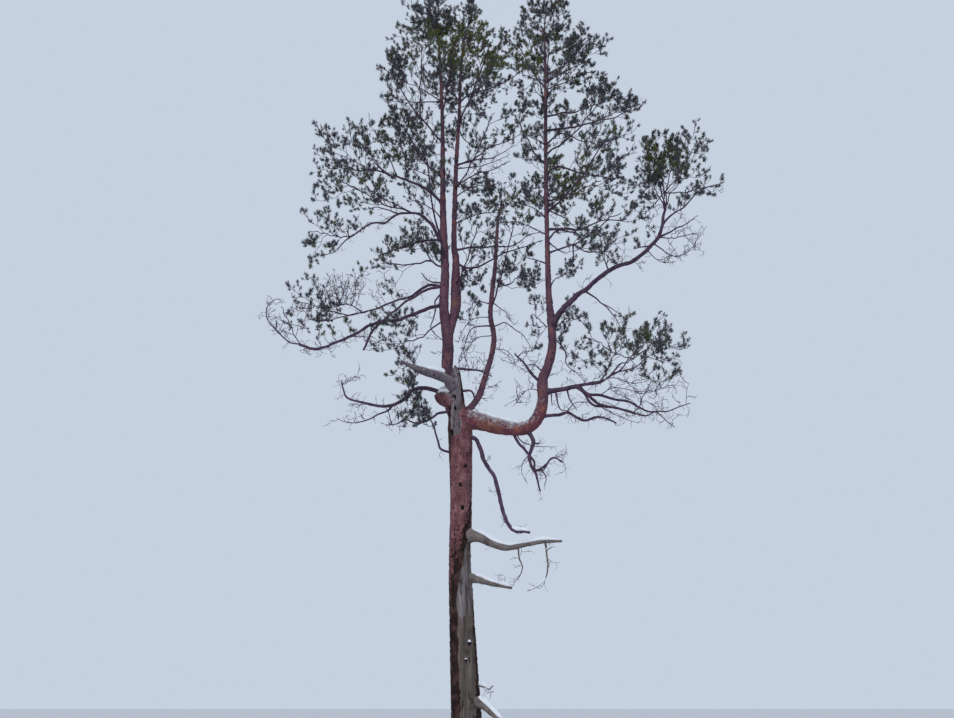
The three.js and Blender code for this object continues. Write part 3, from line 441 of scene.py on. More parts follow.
def seeded(seed):
    """Evenly spread numbers from 0 to 1, the same ones for the same seed, as the solids have them."""
    state = seed

    def draw():
        nonlocal state
        state = state * 16807 % 2147483647
        return state / 2147483647

    return draw


class Course:
    """A smooth line through knots, with a radius that changes evenly between them."""

    def __init__(self, points, radii):
        self.points = np.asarray(points, float)
        self.radii = np.asarray(radii, float)
        self.spans = len(self.points) - 1
        steps = np.diff(self.at(np.linspace(0, 1, 8 * self.spans)), axis=0)
        self.length = float(np.linalg.norm(steps, axis=1).sum())

    def at(self, share):
        """The points at shares of the line, in which each span between two knots counts the same."""
        share = np.asarray(share, float) * self.spans
        span = np.clip(share.astype(int), 0, self.spans - 1)
        t = (share - span)[..., None]
        p = self.points
        p = np.vstack((2 * p[0] - p[1], p, 2 * p[-1] - p[-2]))
        before, start, end, after = p[span], p[span + 1], p[span + 2], p[span + 3]
        leave, arrive = (end - before) / 2, (after - start) / 2
        return ((2 * start - 2 * end + leave + arrive) * t ** 3
                + (-3 * start + 3 * end - 2 * leave - arrive) * t ** 2 + leave * t + start)

    def radius(self, share):
        """The radii there."""
        return np.interp(np.asarray(share) * self.spans, np.arange(self.spans + 1), self.radii)

    def even(self, step):
        """Shares an even step apart along the line."""
        shares = np.linspace(0, 1, 16 * self.spans + 1)
        run = run_along(self.at(shares))
        return np.interp(np.linspace(0, run[-1], max(3, round(run[-1] / step) + 1)), run, shares)

    def onward(self, share, step=0.03):
        """The direction in which the line runs on at a share of its length."""
        return unit(self.at(min(1, share + step)) - self.at(share - step))

    def nearest(self, point, parts):
        """The share at which the line is nearest to a point."""
        shares = np.linspace(0, 1, parts + 1)
        return shares[np.argmin(np.linalg.norm(self.at(shares) - point, axis=1))]


# Noise, the same at the same place each time

def lattice(cells, seed):
    """An even number from 0 to 1 for each whole-numbered cell."""
    cells = cells.astype(np.int64)
    mixed = cells[..., 0] * 73856093 ^ cells[..., 1] * 19349663 ^ cells[..., 2] * 83492791 ^ seed * 2654435761
    mixed = (mixed ^ (mixed >> 13)) * 1274126177 & 0xFFFFFFFF
    return ((mixed ^ (mixed >> 16)) & 0xFFFFFF) / 0xFFFFFF


def noise(points, seed):
    """Smooth noise from -1 to 1, with bumps about one unit across."""
    low = np.floor(points)
    t = points - low
    t = t * t * (3 - 2 * t)
    total = 0
    for corner in np.ndindex(2, 2, 2):
        weight = np.prod(np.where(corner, t, 1 - t), axis=-1)
        total = total + weight * lattice(low + corner, seed)
    return 2 * total - 1


def plates(points, seed):
    """How far a point is from the cracks between cells about one unit across: 0 in a crack."""
    low = np.floor(points)
    nearest = np.full(points.shape[:-1], 9.0)
    second = nearest.copy()
    for step in np.ndindex(3, 3, 3):
        cell = low + step - 1
        centre = cell + np.stack([lattice(cell, seed + k) for k in range(3)], -1)
        gap = np.linalg.norm(points - centre, axis=-1)
        second = np.minimum(second, np.maximum(nearest, gap))
        nearest = np.minimum(nearest, gap)
    return second - nearest


# Meshes

class Bag:
    """Vertices and faces of one kind, joined into a few meshes."""

    def __init__(self):
        self.points, self.faces, self.kinds, self.count = [], [], [], 0

    def add(self, points, faces, kind=0):
        """Adds faces whose corners count from the first of these points. kind is their material."""
        points, faces = np.asarray(points).reshape(-1, 3), np.asarray(faces)
        self.join(faces.reshape(-1, faces.shape[-1]) + self.count, kind)
        self.points.append(points)
        self.count += len(points)

    def join(self, faces, kind=0):
        """Adds faces whose corners count from the bag's first point."""
        self.faces.append(faces)
        self.kinds.append(np.broadcast_to(kind, len(faces)))


def mesh_object(name, bag, materials, smooth):
    """One mesh from a bag of triangles and quads."""
    points = np.concatenate(bag.points).astype(np.float32)
    sizes = np.concatenate([np.full(len(f), f.shape[1]) for f in bag.faces])
    corners = np.concatenate([f.ravel() for f in bag.faces]).astype(np.int32)
    mesh = bpy.data.meshes.new(name)
    mesh.vertices.add(len(points))
    mesh.vertices.foreach_set("co", points.ravel())
    mesh.loops.add(len(corners))
    mesh.loops.foreach_set("vertex_index", corners)
    mesh.polygons.add(len(sizes))
    mesh.polygons.foreach_set("loop_start", np.concatenate(((0,), np.cumsum(sizes)[:-1])).astype(np.int32))
    mesh.polygons.foreach_set("material_index", np.concatenate(bag.kinds).astype(np.int32))
    mesh.polygons.foreach_set("use_smooth", np.full(len(sizes), smooth))
    for material in materials:
        mesh.materials.append(material)
    mesh.update(calc_edges=True)
    mesh.validate()
    thing = bpy.data.objects.new(name, mesh)
    bpy.context.collection.objects.link(thing)
    return thing


def frames(centres):
    """Unit vectors along, and twice across, a line of points, with no twist."""
    along = unit(np.gradient(centres, axis=0))
    normal = np.array((0.0, -1.0, 0.0))
    normals = []
    for way in along:
        normal = unit(normal - way * (normal @ way))
        normals.append(normal)
    normals = np.array(normals)
    return along, normals, np.cross(along, normals)


def grid_faces(rows, sides):
    """Quads between rows of a closed ring of points."""
    row, side = np.meshgrid(np.arange(rows - 1), np.arange(sides), indexing="ij")
    after = (side + 1) % sides
    return np.stack((row * sides + side, row * sides + after,
                     (row + 1) * sides + after, (row + 1) * sides + side), -1).reshape(-1, 4)


def thin_tubes(bag, paths, radii, sides=3):
    """Tapering tubes for many thin twigs: those with as many points as each other go together."""
    by_length = {}
    for path, radius in zip(paths, radii):
        by_length.setdefault(len(path), []).append((path, radius))
    turns = np.arange(sides) * 2 * math.pi / sides
    for size, group in sorted(by_length.items()):
        centres = np.array([path for path, radius in group])
        radius = np.array([radius for path, radius in group])
        along = unit(np.gradient(centres, axis=1))
        whole = unit(centres[:, -1] - centres[:, 0])
        side = unit(np.cross(whole, np.where(np.abs(whole[:, 2:]) > 0.9, (1.0, 0, 0), (0, 0, 1.0))))
        first = unit(side[:, None] - along * (side[:, None] * along).sum(-1, keepdims=True))
        second = np.cross(along, first)
        ring = first[:, :, None] * np.cos(turns)[:, None] + second[:, :, None] * np.sin(turns)[:, None]
        points = centres[:, :, None] + ring * radius[:, :, None, None]
        tube = grid_faces(size, sides)
        steps = np.arange(len(group))[:, None, None] * size * sides
        bag.add(points, (tube[None] + steps).reshape(-1, 4))
        if sides == 3:
            tips = np.array([[-3, -2, -1]]) + size * sides
            bag.join((tips[None] + steps).reshape(-1, 3) + bag.count - len(group) * size * sides)


# Materials. Colours are linear light. A pattern is drawn out along the axes whose number is small

EVEN = (1, 1, 1)
UPRIGHT = (1, 1, 0.5)
FIBROUS = (1, 1, 0.08)
USUAL_GRAIN = (60, EVEN)
FIBRE_GRAIN = (70, (1, 1, 0.06))
FLAKE_GRAIN = (40, (1, 1, 0.6))


def shader(name, roughness):
    """A new material, with its nodes, its surface and the place that its patterns go by."""
    material = bpy.data.materials.new(name)
    material.use_nodes = True
    tree = material.node_tree
    surface = tree.nodes["Principled BSDF"]
    surface.inputs["Roughness"].default_value = roughness
    surface.inputs["Specular IOR Level"].default_value = 0.25
    place = tree.nodes.new("ShaderNodeTexCoord").outputs["Object"]
    return material, tree, surface, place


def noise_node(tree, place, scale, stretch=EVEN, detail=4.0):
    """A noise from 0 to 1."""
    mapping = tree.nodes.new("ShaderNodeMapping")
    mapping.inputs["Scale"].default_value = stretch
    tree.links.new(place, mapping.inputs["Vector"])
    node = tree.nodes.new("ShaderNodeTexNoise")
    node.inputs["Scale"].default_value = scale
    node.inputs["Detail"].default_value = detail
    tree.links.new(mapping.outputs["Vector"], node.inputs["Vector"])
    return node.outputs["Fac"]


def ramp_node(tree, amount, stops):
    """A colour by amount, from stops that each hold a position and its colour."""
    node = tree.nodes.new("ShaderNodeValToRGB")
    elements = node.color_ramp.elements
    while len(elements) < len(stops):
        elements.new(0.5)
    for element, (position, colour) in zip(elements, stops):
        element.position = position
        element.color = (*colour, 1)
    tree.links.new(amount, node.inputs["Fac"])
    return node.outputs["Color"]


def mix_node(tree, amount, first, second, how="MIX"):
    """Two colours in one. Its sockets for colours are inputs 6 and 7 and output 2."""
    node = tree.nodes.new("ShaderNodeMix")
    node.data_type = "RGBA"
    node.blend_type = how
    for socket, value in ((node.inputs[0], amount), (node.inputs[6], first), (node.inputs[7], second)):
        if isinstance(value, bpy.types.NodeSocket):
            tree.links.new(value, socket)
        else:
            socket.default_value = value if isinstance(value, (int, float)) else (*value, 1)
    return node.outputs[2]


def bump_node(tree, surface, height, distance, strength=0.6):
    """Makes the surface stand out by height."""
    node = tree.nodes.new("ShaderNodeBump")
    node.inputs["Strength"].default_value = strength
    node.inputs["Distance"].default_value = distance
    tree.links.new(height, node.inputs["Height"])
    tree.links.new(node.outputs["Normal"], surface.inputs["Normal"])


def mottled(name, roughness, stops, scale, stretch=EVEN, grain=USUAL_GRAIN, bump=0.004, patches=None,
            contrast=0.32):
    """A material whose colour runs through stops by noise, with finer grain, and patches of another."""
    material, tree, surface, place = shader(name, roughness)
    colour = ramp_node(tree, noise_node(tree, place, scale, stretch), stops)
    fine = noise_node(tree, place, *grain, 6.0)
    shade = ramp_node(tree, fine, ((0.3, (1 - 1.2 * contrast,) * 3), (0.7, (1 + 0.8 * contrast,) * 3)))
    colour = mix_node(tree, 1.0, colour, shade, "MULTIPLY")
    if patches:
        patch_scale, low, high, patch_colour = patches
        mask = ramp_node(tree, noise_node(tree, place, patch_scale), ((low, (0, 0, 0)), (high, (1, 1, 1))))
        colour = mix_node(tree, mask, colour, patch_colour)
    tree.links.new(colour, surface.inputs["Base Color"])
    bump_node(tree, surface, fine, bump)
    return material


BARK = mottled(
    "bark_plates", 0.9,
    ((0.3, (0.105, 0.041, 0.050)), (0.5, (0.195, 0.078, 0.086)), (0.72, (0.31, 0.145, 0.155))),
    9, UPRIGHT, (45, UPRIGHT), 0.006, (2.3, 0.55, 0.68, (0.12, 0.078, 0.076)), 0.42)
# Dark bark, also used as painted shade in the cracks between plates and in the splits of the bare wood
DARK_BARK_AND_CRACK_SHADE = mottled(
    "bark_dark_and_crack_shade", 0.95, ((0.3, (0.012, 0.006, 0.005)), (0.7, (0.044, 0.021, 0.018))),
    9, (1, 1, 0.3), (50, (1, 1, 0.4)), 0.008, (7, 0.54, 0.66, (0.076, 0.036, 0.033)))
GREY_WOOD = mottled(
    "grey_wood", 0.85,
    ((0.25, (0.050, 0.038, 0.032)), (0.5, (0.114, 0.092, 0.078)), (0.75, (0.205, 0.168, 0.142))),
    9, FIBROUS, FIBRE_GRAIN, 0.003, (4.5, 0.5, 0.7, (0.055, 0.042, 0.036)))
# Pale bare wood on the trunk. On the broken limb's upper side it is frost with painted top light
PALE_WOOD_AND_TOP_LIGHT = mottled(
    "pale_wood_and_painted_top_light", 0.85, ((0.25, (0.11, 0.088, 0.090)), (0.5, (0.20, 0.165, 0.175)), (0.75, (0.33, 0.28, 0.29))),
    9, FIBROUS, FIBRE_GRAIN, 0.003)
# Painted shade: the near-black inside of the dents in the trunk
HOLE_SHADE = mottled("knot_hole_painted_shade", 1.0, ((0.3, (0.006, 0.005, 0.005)), (0.7, (0.02, 0.016, 0.014))), 20)
RED_BARK = mottled(
    "leader_bark", 0.8,
    ((0.3, (0.090, 0.043, 0.068)), (0.5, (0.148, 0.068, 0.098)), (0.7, (0.215, 0.101, 0.128))),
    5, UPRIGHT, FLAKE_GRAIN, 0.003, (4.2, 0.53, 0.72, (0.23, 0.095, 0.075)))
ARM_BARK = mottled(
    "arm_bark", 0.8, ((0.3, (0.12, 0.037, 0.052)), (0.5, (0.20, 0.062, 0.078)), (0.7, (0.31, 0.11, 0.10))),
    5, UPRIGHT, FLAKE_GRAIN, 0.003, (4.2, 0.55, 0.72, (0.38, 0.14, 0.08)))
ORANGE_BARK = mottled(
    "orange_bark", 0.8, ((0.3, (0.19, 0.070, 0.058)), (0.5, (0.30, 0.125, 0.09)), (0.7, (0.40, 0.20, 0.15))),
    9, UPRIGHT, FLAKE_GRAIN, 0.003)
RED_DARK = mottled(
    "leader_bark_dark", 0.85, ((0.3, (0.050, 0.027, 0.042)), (0.7, (0.112, 0.060, 0.088))), 10, bump=0.003)
WEATHERED = mottled(
    "weathered_wood", 0.85, ((0.25, (0.092, 0.074, 0.084)), (0.7, (0.26, 0.215, 0.242))),
    9, EVEN, (50, EVEN), 0.004, (9, 0.52, 0.68, (0.060, 0.038, 0.062)))
# Frost and rime on the upper sides of limbs, lighter than their bark: frost with painted light falling on top
FROST_TOP_LIGHT_BARK = mottled(
    "frosty_bark_painted_top_light", 0.8, ((0.3, (0.16, 0.095, 0.10)), (0.6, (0.27, 0.19, 0.195)), (0.75, (0.38, 0.31, 0.32))),
    14, EVEN, (50, EVEN), 0.003)
RIME_TOP_LIGHT_BARK = mottled(
    "rimed_bark_painted_top_light", 0.8, ((0.3, (0.24, 0.185, 0.195)), (0.6, (0.46, 0.41, 0.43)), (0.75, (0.66, 0.64, 0.67))),
    16, EVEN, (55, EVEN), 0.003)
BOUGH_BARK = mottled(
    "bough_bark", 0.85, ((0.3, (0.056, 0.032, 0.056)), (0.7, (0.128, 0.074, 0.120))), 8, bump=0.002)
GREY_BOUGH = mottled(
    "grey_bough", 0.85, ((0.25, (0.10, 0.080, 0.072)), (0.7, (0.27, 0.225, 0.20))), 8, bump=0.002)
TWIG_BARK = mottled(
    "twig_bark", 0.85, ((0.3, (0.074, 0.050, 0.076)), (0.7, (0.165, 0.112, 0.162))), 12, bump=0.001)
SNOW = mottled(
    "snow", 0.6, ((0.3, (0.84, 0.86, 0.90)), (0.7, (0.92, 0.93, 0.96))), 12, bump=0.002, contrast=0.04)
# Needle shades from dark to lit. The olive and lit shades are also painted sunlight where LIT_PLACES push tufts
# into them
NEEDLE_SHADES = [
    mottled(name, 0.6, ((0.3, [0.8 * c for c in colour]), (0.7, [1.2 * c for c in colour])), 9, bump=0.001)
    for name, colour in (
        ("needles_dark", (0.122, 0.120, 0.148)), ("needles_deep", (0.134, 0.138, 0.152)),
        ("needles_green", (0.126, 0.145, 0.118)), ("needles_olive_and_painted_light", (0.140, 0.160, 0.066)),
        ("needles_lit", (0.175, 0.200, 0.045)), ("needles_brown", (0.150, 0.100, 0.090)))
]

# Limbs with the relief of their bark

RED_LIMBS = ("left_leader", "middle_leader", "curved_leader", "arm", "right_leader", "old_stub")
GREY_LIMBS = ("broken_limb", "snow_limb", "low_dead_limb", "foot_limb")
TRUNK_SIDES = 96
TRUNK_STEP = 0.016
# A limb's faces: how wide they are, how many stand side by side, and how long they are
FACE = 0.016
FEWEST_SIDES, MOST_SIDES = 10, 44
LEAST_STEP, MOST_STEP = 0.016, 0.03

# The old stub's rounded end: its course in pixels of the view, its radii and how far back it is
KNOB_PIXELS = ((450, 400.5), (445.5, 398.8), (441, 397.2), (437.4, 396.4), (435, 396))
KNOB_RADII = (0.12, 0.135, 0.145, 0.14, 0.10, 0.04)
KNOB_DEPTH = 0.08
# Where a limb stands aside from its plain course: the pixel row and the height in pixels of that
# stretch, and how far to the right and up it moves
BENDS = {"left_leader": ((391, 18, 0.12, 0), (313, 14, -0.014, 0)), "middle_leader": ((308, 14, 0.034, 0),),
         "broken_limb": ((369, 5, 0, -0.026),)}


def crooked(points, amount):
    """Points of a bough with small bends, which keeps its root."""
    bends = np.stack([noise(points * 4.2, 60 + k) + 0.4 * noise(points * 9, 63 + k) for k in range(3)], -1)
    return points + amount * bends * np.clip(run_along(points) / 0.25, 0, 1)[:, None]


courses = {}
for name, on, at, root, knots in LIMBS:
    if on:
        knots = ((*(courses[on].at(at) / MM), root), *knots)
    knots = np.array(knots, float) * MM
    course = Course(knots[:, :3], knots[:, 3])
    if name not in ("trunk", *RED_LIMBS, *GREY_LIMBS):
        shares = np.linspace(0, 1, int(course.length / 0.06))
        course = Course(crooked(course.at(shares), LIMB_CROOK), course.radius(shares))
    if name in BENDS:
        shares = np.linspace(0, 1, int(course.length / 0.05))
        points = course.at(shares)
        for v, high, shift, rise in BENDS[name]:
            points += np.exp(-((to_pixel(points)[:, 1] - v) / high) ** 2)[:, None] * (shift, 0, rise)
        course = Course(points, course.radius(shares))
    if name == "old_stub":
        depth = course.at(0.0)[1] + KNOB_DEPTH
        points = [at_pixel(u, v, depth) for u, v in KNOB_PIXELS]
        course = Course([course.at(0.0), *points], KNOB_RADII)
    courses[name] = course


# The two stretches of the trunk that have lost their bark: heights, and the turn from the front
# towards the right, in degrees, where each begins and ends
LOW_WOOD = (0.3, 4.62)
LOW_WOOD_HEIGHTS = (0.35, 1.3, 3.27, 3.62, 4.32, 4.6)
LOW_WOOD_FROM = (-5, -26, -26, -8, 38, 75)
LOW_WOOD_TO = (12, 46, 62, 105, 112, 92)
HIGH_WOOD = 6.2
HIGH_WOOD_HEIGHTS = (6.15, 6.4, 6.85, 6.95)
HIGH_WOOD_FROM = (-42, -50, -54, -180)
HIGH_WOOD_TO = (-12, 6, 18, 46)

# How the trunk looks by height: each has heights in metres and the values there
ROUGH = (0, 2.5, 4.5, 6.5), (1.0, 0.85, 0.6, 0.45)
SEAM_TURN = (0.3, 3.3, 3.6, 4.3, 4.7), (-30, -30, -14, 26, 60)
SEAM_WIDTH = (1, 3.6, 4.7, 5.1), (14, 20, 16, 1)
DARK = (2.4, 3.2, 3.9, 4.6, 5.6), (0.93, 0.62, 0.35, 0.06, -0.05)
DARK_EDGE = (4.9, 5.6, 6.1), (0, 0.5, 1.1)
DARK_TOP = (6.75, 6.95), (0, 1.2)
PALE = (2.4, 3.1, 4.4, 5.0, 6.0), (-0.8, -0.12, -0.05, 0, 2)
# The same by turn, in degrees
DARK_BACK = (-150, -100, -70), (0.25, 0.2, 0)
DARK_RIGHT = (18, 36), (0, 1)

# Dents in the trunk, painted near-black as the shade inside them: turn in degrees, height, radius and depth
HOLES = ((-22, 6.94, 0.046, 0.022), (-20, 6.73, 0.034, 0.05), (-48, 6.27, 0.045, 0.05), (8, 4.86, 0.035, 0.04),
         (-6, 5.28, 0.028, 0.02), (24, 5.62, 0.03, 0.02))
PLATE = (0.055, 0.055, 0.12)
# Places in the trunk's list of materials. The first two are the same in every limb's
PLAIN, DARKER, GREY, SHADED_DENT, PALER = range(5)


def wood_strip(turn, z):
    """True where the trunk has lost its bark."""
    low, high = (np.interp(z, LOW_WOOD_HEIGHTS, turns) for turns in (LOW_WOOD_FROM, LOW_WOOD_TO))
    lower = (turn > low) & (turn < high) & (z > LOW_WOOD[0]) & (z < LOW_WOOD[1])
    low, high = (np.interp(z, HIGH_WOOD_HEIGHTS, turns) for turns in (HIGH_WOOD_FROM, HIGH_WOOD_TO))
    return lower | ((turn > low) & (turn < high) & (z > HIGH_WOOD))


def trunk_relief(turns, heights, radius, along):
    """How far the trunk's surface stands out, and which material each point has."""
    turn = np.degrees((turns + math.pi) % (2 * math.pi) - math.pi)
    place = np.stack((radius * np.cos(turns), radius * np.sin(turns), along), -1)
    wander = noise(place * (7, 7, 4), 3) * 9 + noise(place * (25, 25, 12), 4) * 4
    wood = wood_strip(turn + wander, heights + 0.006 * wander)
    rough = np.interp(heights, *ROUGH)
    warped = place + 0.02 * np.stack([noise(place * 14, k) for k in (5, 6, 7)], -1)
    crack = np.clip(plates(warped / PLATE, 11) / 0.3, 0, 1)
    fine = noise(place * (40, 40, 25), 8) * 0.5 + noise(place * (90, 90, 60), 9) * 0.25
    bark = (crack ** 0.6 - 0.75) * 0.020 * rough + fine * 0.006 * rough
    grooves = noise(place * (60, 60, 3.5), 10) * 0.0035 + noise(place * (22, 22, 1.6), 12) * 0.006
    lift = np.where(wood, grooves - 0.012, bark)
    off_seam = turn + wander - np.interp(heights, *SEAM_TURN) + 6
    seam = np.exp(-(off_seam / np.interp(heights, *SEAM_WIDTH)) ** 2)
    edge = np.exp(-((turn + 0.5 * wander + 74) / 20) ** 4) * np.interp(heights, *DARK_EDGE)
    darkness = np.interp(heights, *DARK) + 0.9 * seam
    # Dark bark is likelier in the cracks between plates: painted shade in the cracks
    darkness = darkness + np.interp(turn, *DARK_BACK) + 0.3 * (crack < 0.25)
    darkness = darkness + edge + np.interp(turn, *DARK_RIGHT) * np.interp(heights, *DARK_TOP)
    blotches = 0.5 + 0.5 * noise(place * (30, 30, 13), 14) + 0.3 * noise(place * (75, 75, 40), 13)
    # Splits in the bare wood are sunk and painted dark as the shade in them
    split = (np.abs(noise(place * (24, 24, 1.3), 15)) < 0.05) & (noise(place * (9, 9, 1.1), 16) > 0)
    pale = noise(place * (20, 20, 2.2), 17) + np.interp(heights, *PALE) > 0
    on_wood = np.where(split | (edge > 0.9), DARKER, np.where(pale, PALER, GREY))
    kind = np.where(wood, on_wood, np.where(blotches < darkness, DARKER, PLAIN))
    lift = lift - 0.008 * (wood & split)
    for hole_turn, height, size, depth in HOLES:
        away = np.hypot(np.radians(turn - hole_turn) * radius, (heights - height) * 0.75)
        lift = lift - depth * np.clip(1.3 - away / size, 0, 1) ** 2
        # The dent is painted with the near-black shade of a hole
        kind = np.where(away < size, SHADED_DENT, kind)
    return lift, kind


# How much wider a limb is where it leaves its own limb
USUAL_SWELL = 0.4
SWELL = {"arm": 0.0, "left_leader": 0.05, "middle_leader": 0.15, "curved_leader": 0.15, "old_stub": 0.3,
         "broken_limb": 0.15, "snag_limb": 0.1, "hanging_limb": 0.05}
# Where a limb is stouter or slimmer than its taper: the middle and length of that stretch along it,
# and by how much
STOUT = {"left_leader": ((3.0, 1.7, 0.16), (1.15, 0.5, -0.12)),
         "middle_leader": ((1.1, 0.8, 0.42), (0.35, 0.3, -0.08)),
         "broken_limb": ((0.6, 0.25, 0.16), (1.22, 0.25, -0.3)), "west_high_bough": ((1.2, 2.0, -0.34),),
         "west_top_bough": ((0.9, 2.0, -0.2),), "west_mid_bough": ((1.2, 1.6, -0.36),),
         "hanging_limb": ((0.2, 1.2, -0.22),), "south_east_bough": ((1.5, 0.8, -0.3),),
         "tangle_limb": ((0.3, 0.7, 0.4),)}
BROKEN = ("trunk", "broken_limb")
# Limbs with rime and painted top light on their upper sides, and from where to where along them
TOP_LIGHT_AND_FROST_LIMBS = {"arm": (0.2, 1.9), "old_stub": (0.0, 1.0), "broken_limb": (0.0, 1.6)}
# Along the arm, where its red bark begins, and the middle and half length of its orange flakes
ARM_RED = 1.75
ARM_ORANGE = (0.62, 0.25)
# Further places in a red or grey limb's list of materials
RIME_AND_TOP_LIGHT, RED, FROST_AND_TOP_LIGHT, ORANGE = 2, 3, 4, 5
# How wide the flakes of a limb's bark are, and how deep on red limbs and on the others
FLAKE = 0.045
RED_DEPTH, GREY_DEPTH = 0.008, 0.004


def swollen(name, run):
    """How much wider a limb is at these lengths along it: near its own limb, and where it is stout."""
    on_radius, root = next((courses[on].radius(at), root * MM) for n, on, at, root, knots in LIMBS if n == name)
    near = np.exp(-np.abs(run - 0.9 * on_radius) / (0.9 * root)) * (run < 3 * on_radius + root)
    more = sum(part * np.exp(-((run - middle) / long) ** 2) for middle, long, part in STOUT.get(name, ()))
    return 1 + SWELL.get(name, USUAL_SWELL) * near + more


def limb_relief(name, turn, run, wide, depth, upward):
    """How far a limb's surface stands out, and which material each point has."""
    place = np.stack((wide * np.cos(turn), wide * np.sin(turn), run), -1)
    flakes = np.clip(plates(place / (FLAKE, FLAKE, 2.2 * FLAKE), 21) / 0.3, 0, 1)
    lumps = noise(place / (2.5 * wide[..., None] + 0.01), 22) * 0.10 * wide
    lift = (flakes - 0.8) * depth + lumps + noise(place / 0.012, 23) * 0.25 * depth
    specks = noise(place / (0.035, 0.035, 0.06), 25) + 0.6 * noise(place / 0.014, 26)
    kind = np.where(specks < -0.62, DARKER, PLAIN)
    if name == "arm":
        middle, half = ARM_ORANGE
        kind = np.where((kind == PLAIN) & (run + 0.3 * specks > ARM_RED), RED, kind)
        flaked = (np.abs(run - middle) < half + 0.12 * specks) & (upward > -0.75)
        kind = np.where((kind == PLAIN) & flaked, ORANGE, kind)
    # Upper sides are drawn lighter, as rime and frost: frost with painted top light
    if name in TOP_LIGHT_AND_FROST_LIMBS:
        first, last = TOP_LIGHT_AND_FROST_LIMBS[name]
        rime_and_top_light = upward + 0.45 * specks - 0.25 + 9 * np.minimum(0, np.minimum(run - first, last - run))
        kind = np.where(rime_and_top_light > 0.3, RIME_AND_TOP_LIGHT, np.where(rime_and_top_light > -0.12, FROST_AND_TOP_LIGHT, kind))
    return lift, kind


def limb_piece(name, course, sides, step, depth, materials, *nodes):
    """A limb's mesh: tapering, swollen where it leaves its own limb, with the relief of its bark."""
    shares = course.even(step)
    centres = course.at(shares)
    along, normal, binormal = frames(centres)
    way = run_along(centres)
    radius = course.radius(shares)
    turn, run = np.meshgrid(np.arange(sides) * 2 * math.pi / sides, way)
    wide = np.broadcast_to(radius[:, None], turn.shape)
    if name == "trunk":
        heights = np.broadcast_to(centres[:, 2:3], turn.shape)
        wide = wide * (1 + FLARE_DEPTH * np.cos(FLARE_RIBS * turn) * np.exp(-heights / FLARE_FADE))
        lift, kind = trunk_relief(turn, heights, wide, run)
        lift = lift * np.clip(heights / 0.05, 0, 1)
    else:
        upward = normal[:, 2:3] * np.cos(turn) + binormal[:, 2:3] * np.sin(turn)
        lift, kind = limb_relief(name, turn, run, wide, depth, upward)
        wide = wide * swollen(name, run)
    ring = normal[:, None] * np.cos(turn)[..., None] + binormal[:, None] * np.sin(turn)[..., None]
    points = centres[:, None] + ring * (wide + lift)[..., None]
    if name in BROKEN:
        torn = 1.6 * radius[-1]
        ragged = noise(np.stack((3 * np.cos(turn), 3 * np.sin(turn), 0 * turn), -1), 24)
        shift = np.clip((run - (way[-1] - torn)) / torn, 0, 1) * ragged * torn
        points = points + along[:, None] * shift[..., None]
    if name == "trunk":
        points[0, :, 2] = 0
    bag = Bag()
    quads = grid_faces(len(shares), sides)
    kinds = kind.ravel()[quads[:, 0]]
    bag.add(points, quads, kinds)
    tip = centres[-1] + along[-1] * (0.4 if name not in BROKEN else -0.5) * radius[-1]
    first = np.arange(sides)
    last = (len(shares) - 1) * sides + first
    bag.join(np.stack((last, np.roll(last, -1), np.full(sides, bag.count)), -1), kinds[-1])
    bag.join(np.stack((np.roll(first, -1), first, np.full(sides, bag.count + 1)), -1), kinds[-1])
    bag.points.append(np.array((tip, centres[0])))
    piece = mesh_object(name + "_bark", bag, materials, True)
    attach(piece, "root")
    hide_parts(*nodes)


for name, on, at, root, knots in LIMBS:
    course, nodes = courses[name], (name,)
    if name == "trunk":
        looks = (BARK, DARK_BARK_AND_CRACK_SHADE, GREY_WOOD, HOLE_SHADE, PALE_WOOD_AND_TOP_LIGHT)
        limb_piece(name, course, TRUNK_SIDES, TRUNK_STEP, 0, looks, name)
        continue
    if name == "right_leader":
        continue
    if name == "arm":
        leader = courses["right_leader"]
        course = Course(np.vstack((course.points[:-1], leader.points)),
                        np.append(course.radii[:-1], leader.radii))
        nodes = ("arm", "right_leader")
    size = course.radii.mean()
    sides = int(np.clip(round(2 * math.pi * size / FACE), FEWEST_SIDES, MOST_SIDES))
    step = float(np.clip(size / 3, LEAST_STEP, MOST_STEP))
    if name in RED_LIMBS:
        bark = {"arm": ARM_BARK, "old_stub": BARK}.get(name, RED_BARK)
        looks = (bark, RED_DARK, RIME_TOP_LIGHT_BARK, RED_BARK, FROST_TOP_LIGHT_BARK, ORANGE_BARK)
    elif name in GREY_LIMBS:
        grey = WEATHERED if name == "broken_limb" else GREY_BOUGH
        # On the broken limb the pale wood stands for frost with painted top light on its upper side
        looks = (grey, TWIG_BARK, RIME_TOP_LIGHT_BARK, grey, PALE_WOOD_AND_TOP_LIGHT)
    else:
        looks = (BOUGH_BARK, BOUGH_BARK)
    limb_piece(name, course, sides, step, RED_DEPTH if name in RED_LIMBS else GREY_DEPTH, looks, *nodes)

# Thin wood: everything finer than the limbs goes into these lists, and is meshed at the end

thick_paths, thick_radii = [], []
thin_paths, thin_radii = [], []
tufts = []


def keep_path(points, first_radius, last_radius):
    """Keeps a course to be meshed, among the thick or the thin ones."""
    thick = first_radius > THIN_WOOD
    (thick_paths if thick else thin_paths).append(np.asarray(points))
    (thick_radii if thick else thin_radii).append(np.linspace(first_radius, last_radius, len(points)))


def depth_in(space, point):
    """How deep in a round space a point is: 0 at its centre and 1 on its skin."""
    centre, half = space[:2]
    return float(np.linalg.norm((point - centre) / half))


def wandering(start, way, length, parts, random, crook, lift):
    """Points of a twig that wanders by crook and turns upward by lift."""
    points = [start]
    way = unit(way)
    for part in range(parts):
        way = unit(way + random.normal(0, crook, 3) + (0, 0, lift / parts))
        points.append(points[-1] + way * length / parts)
    return np.array(points), way


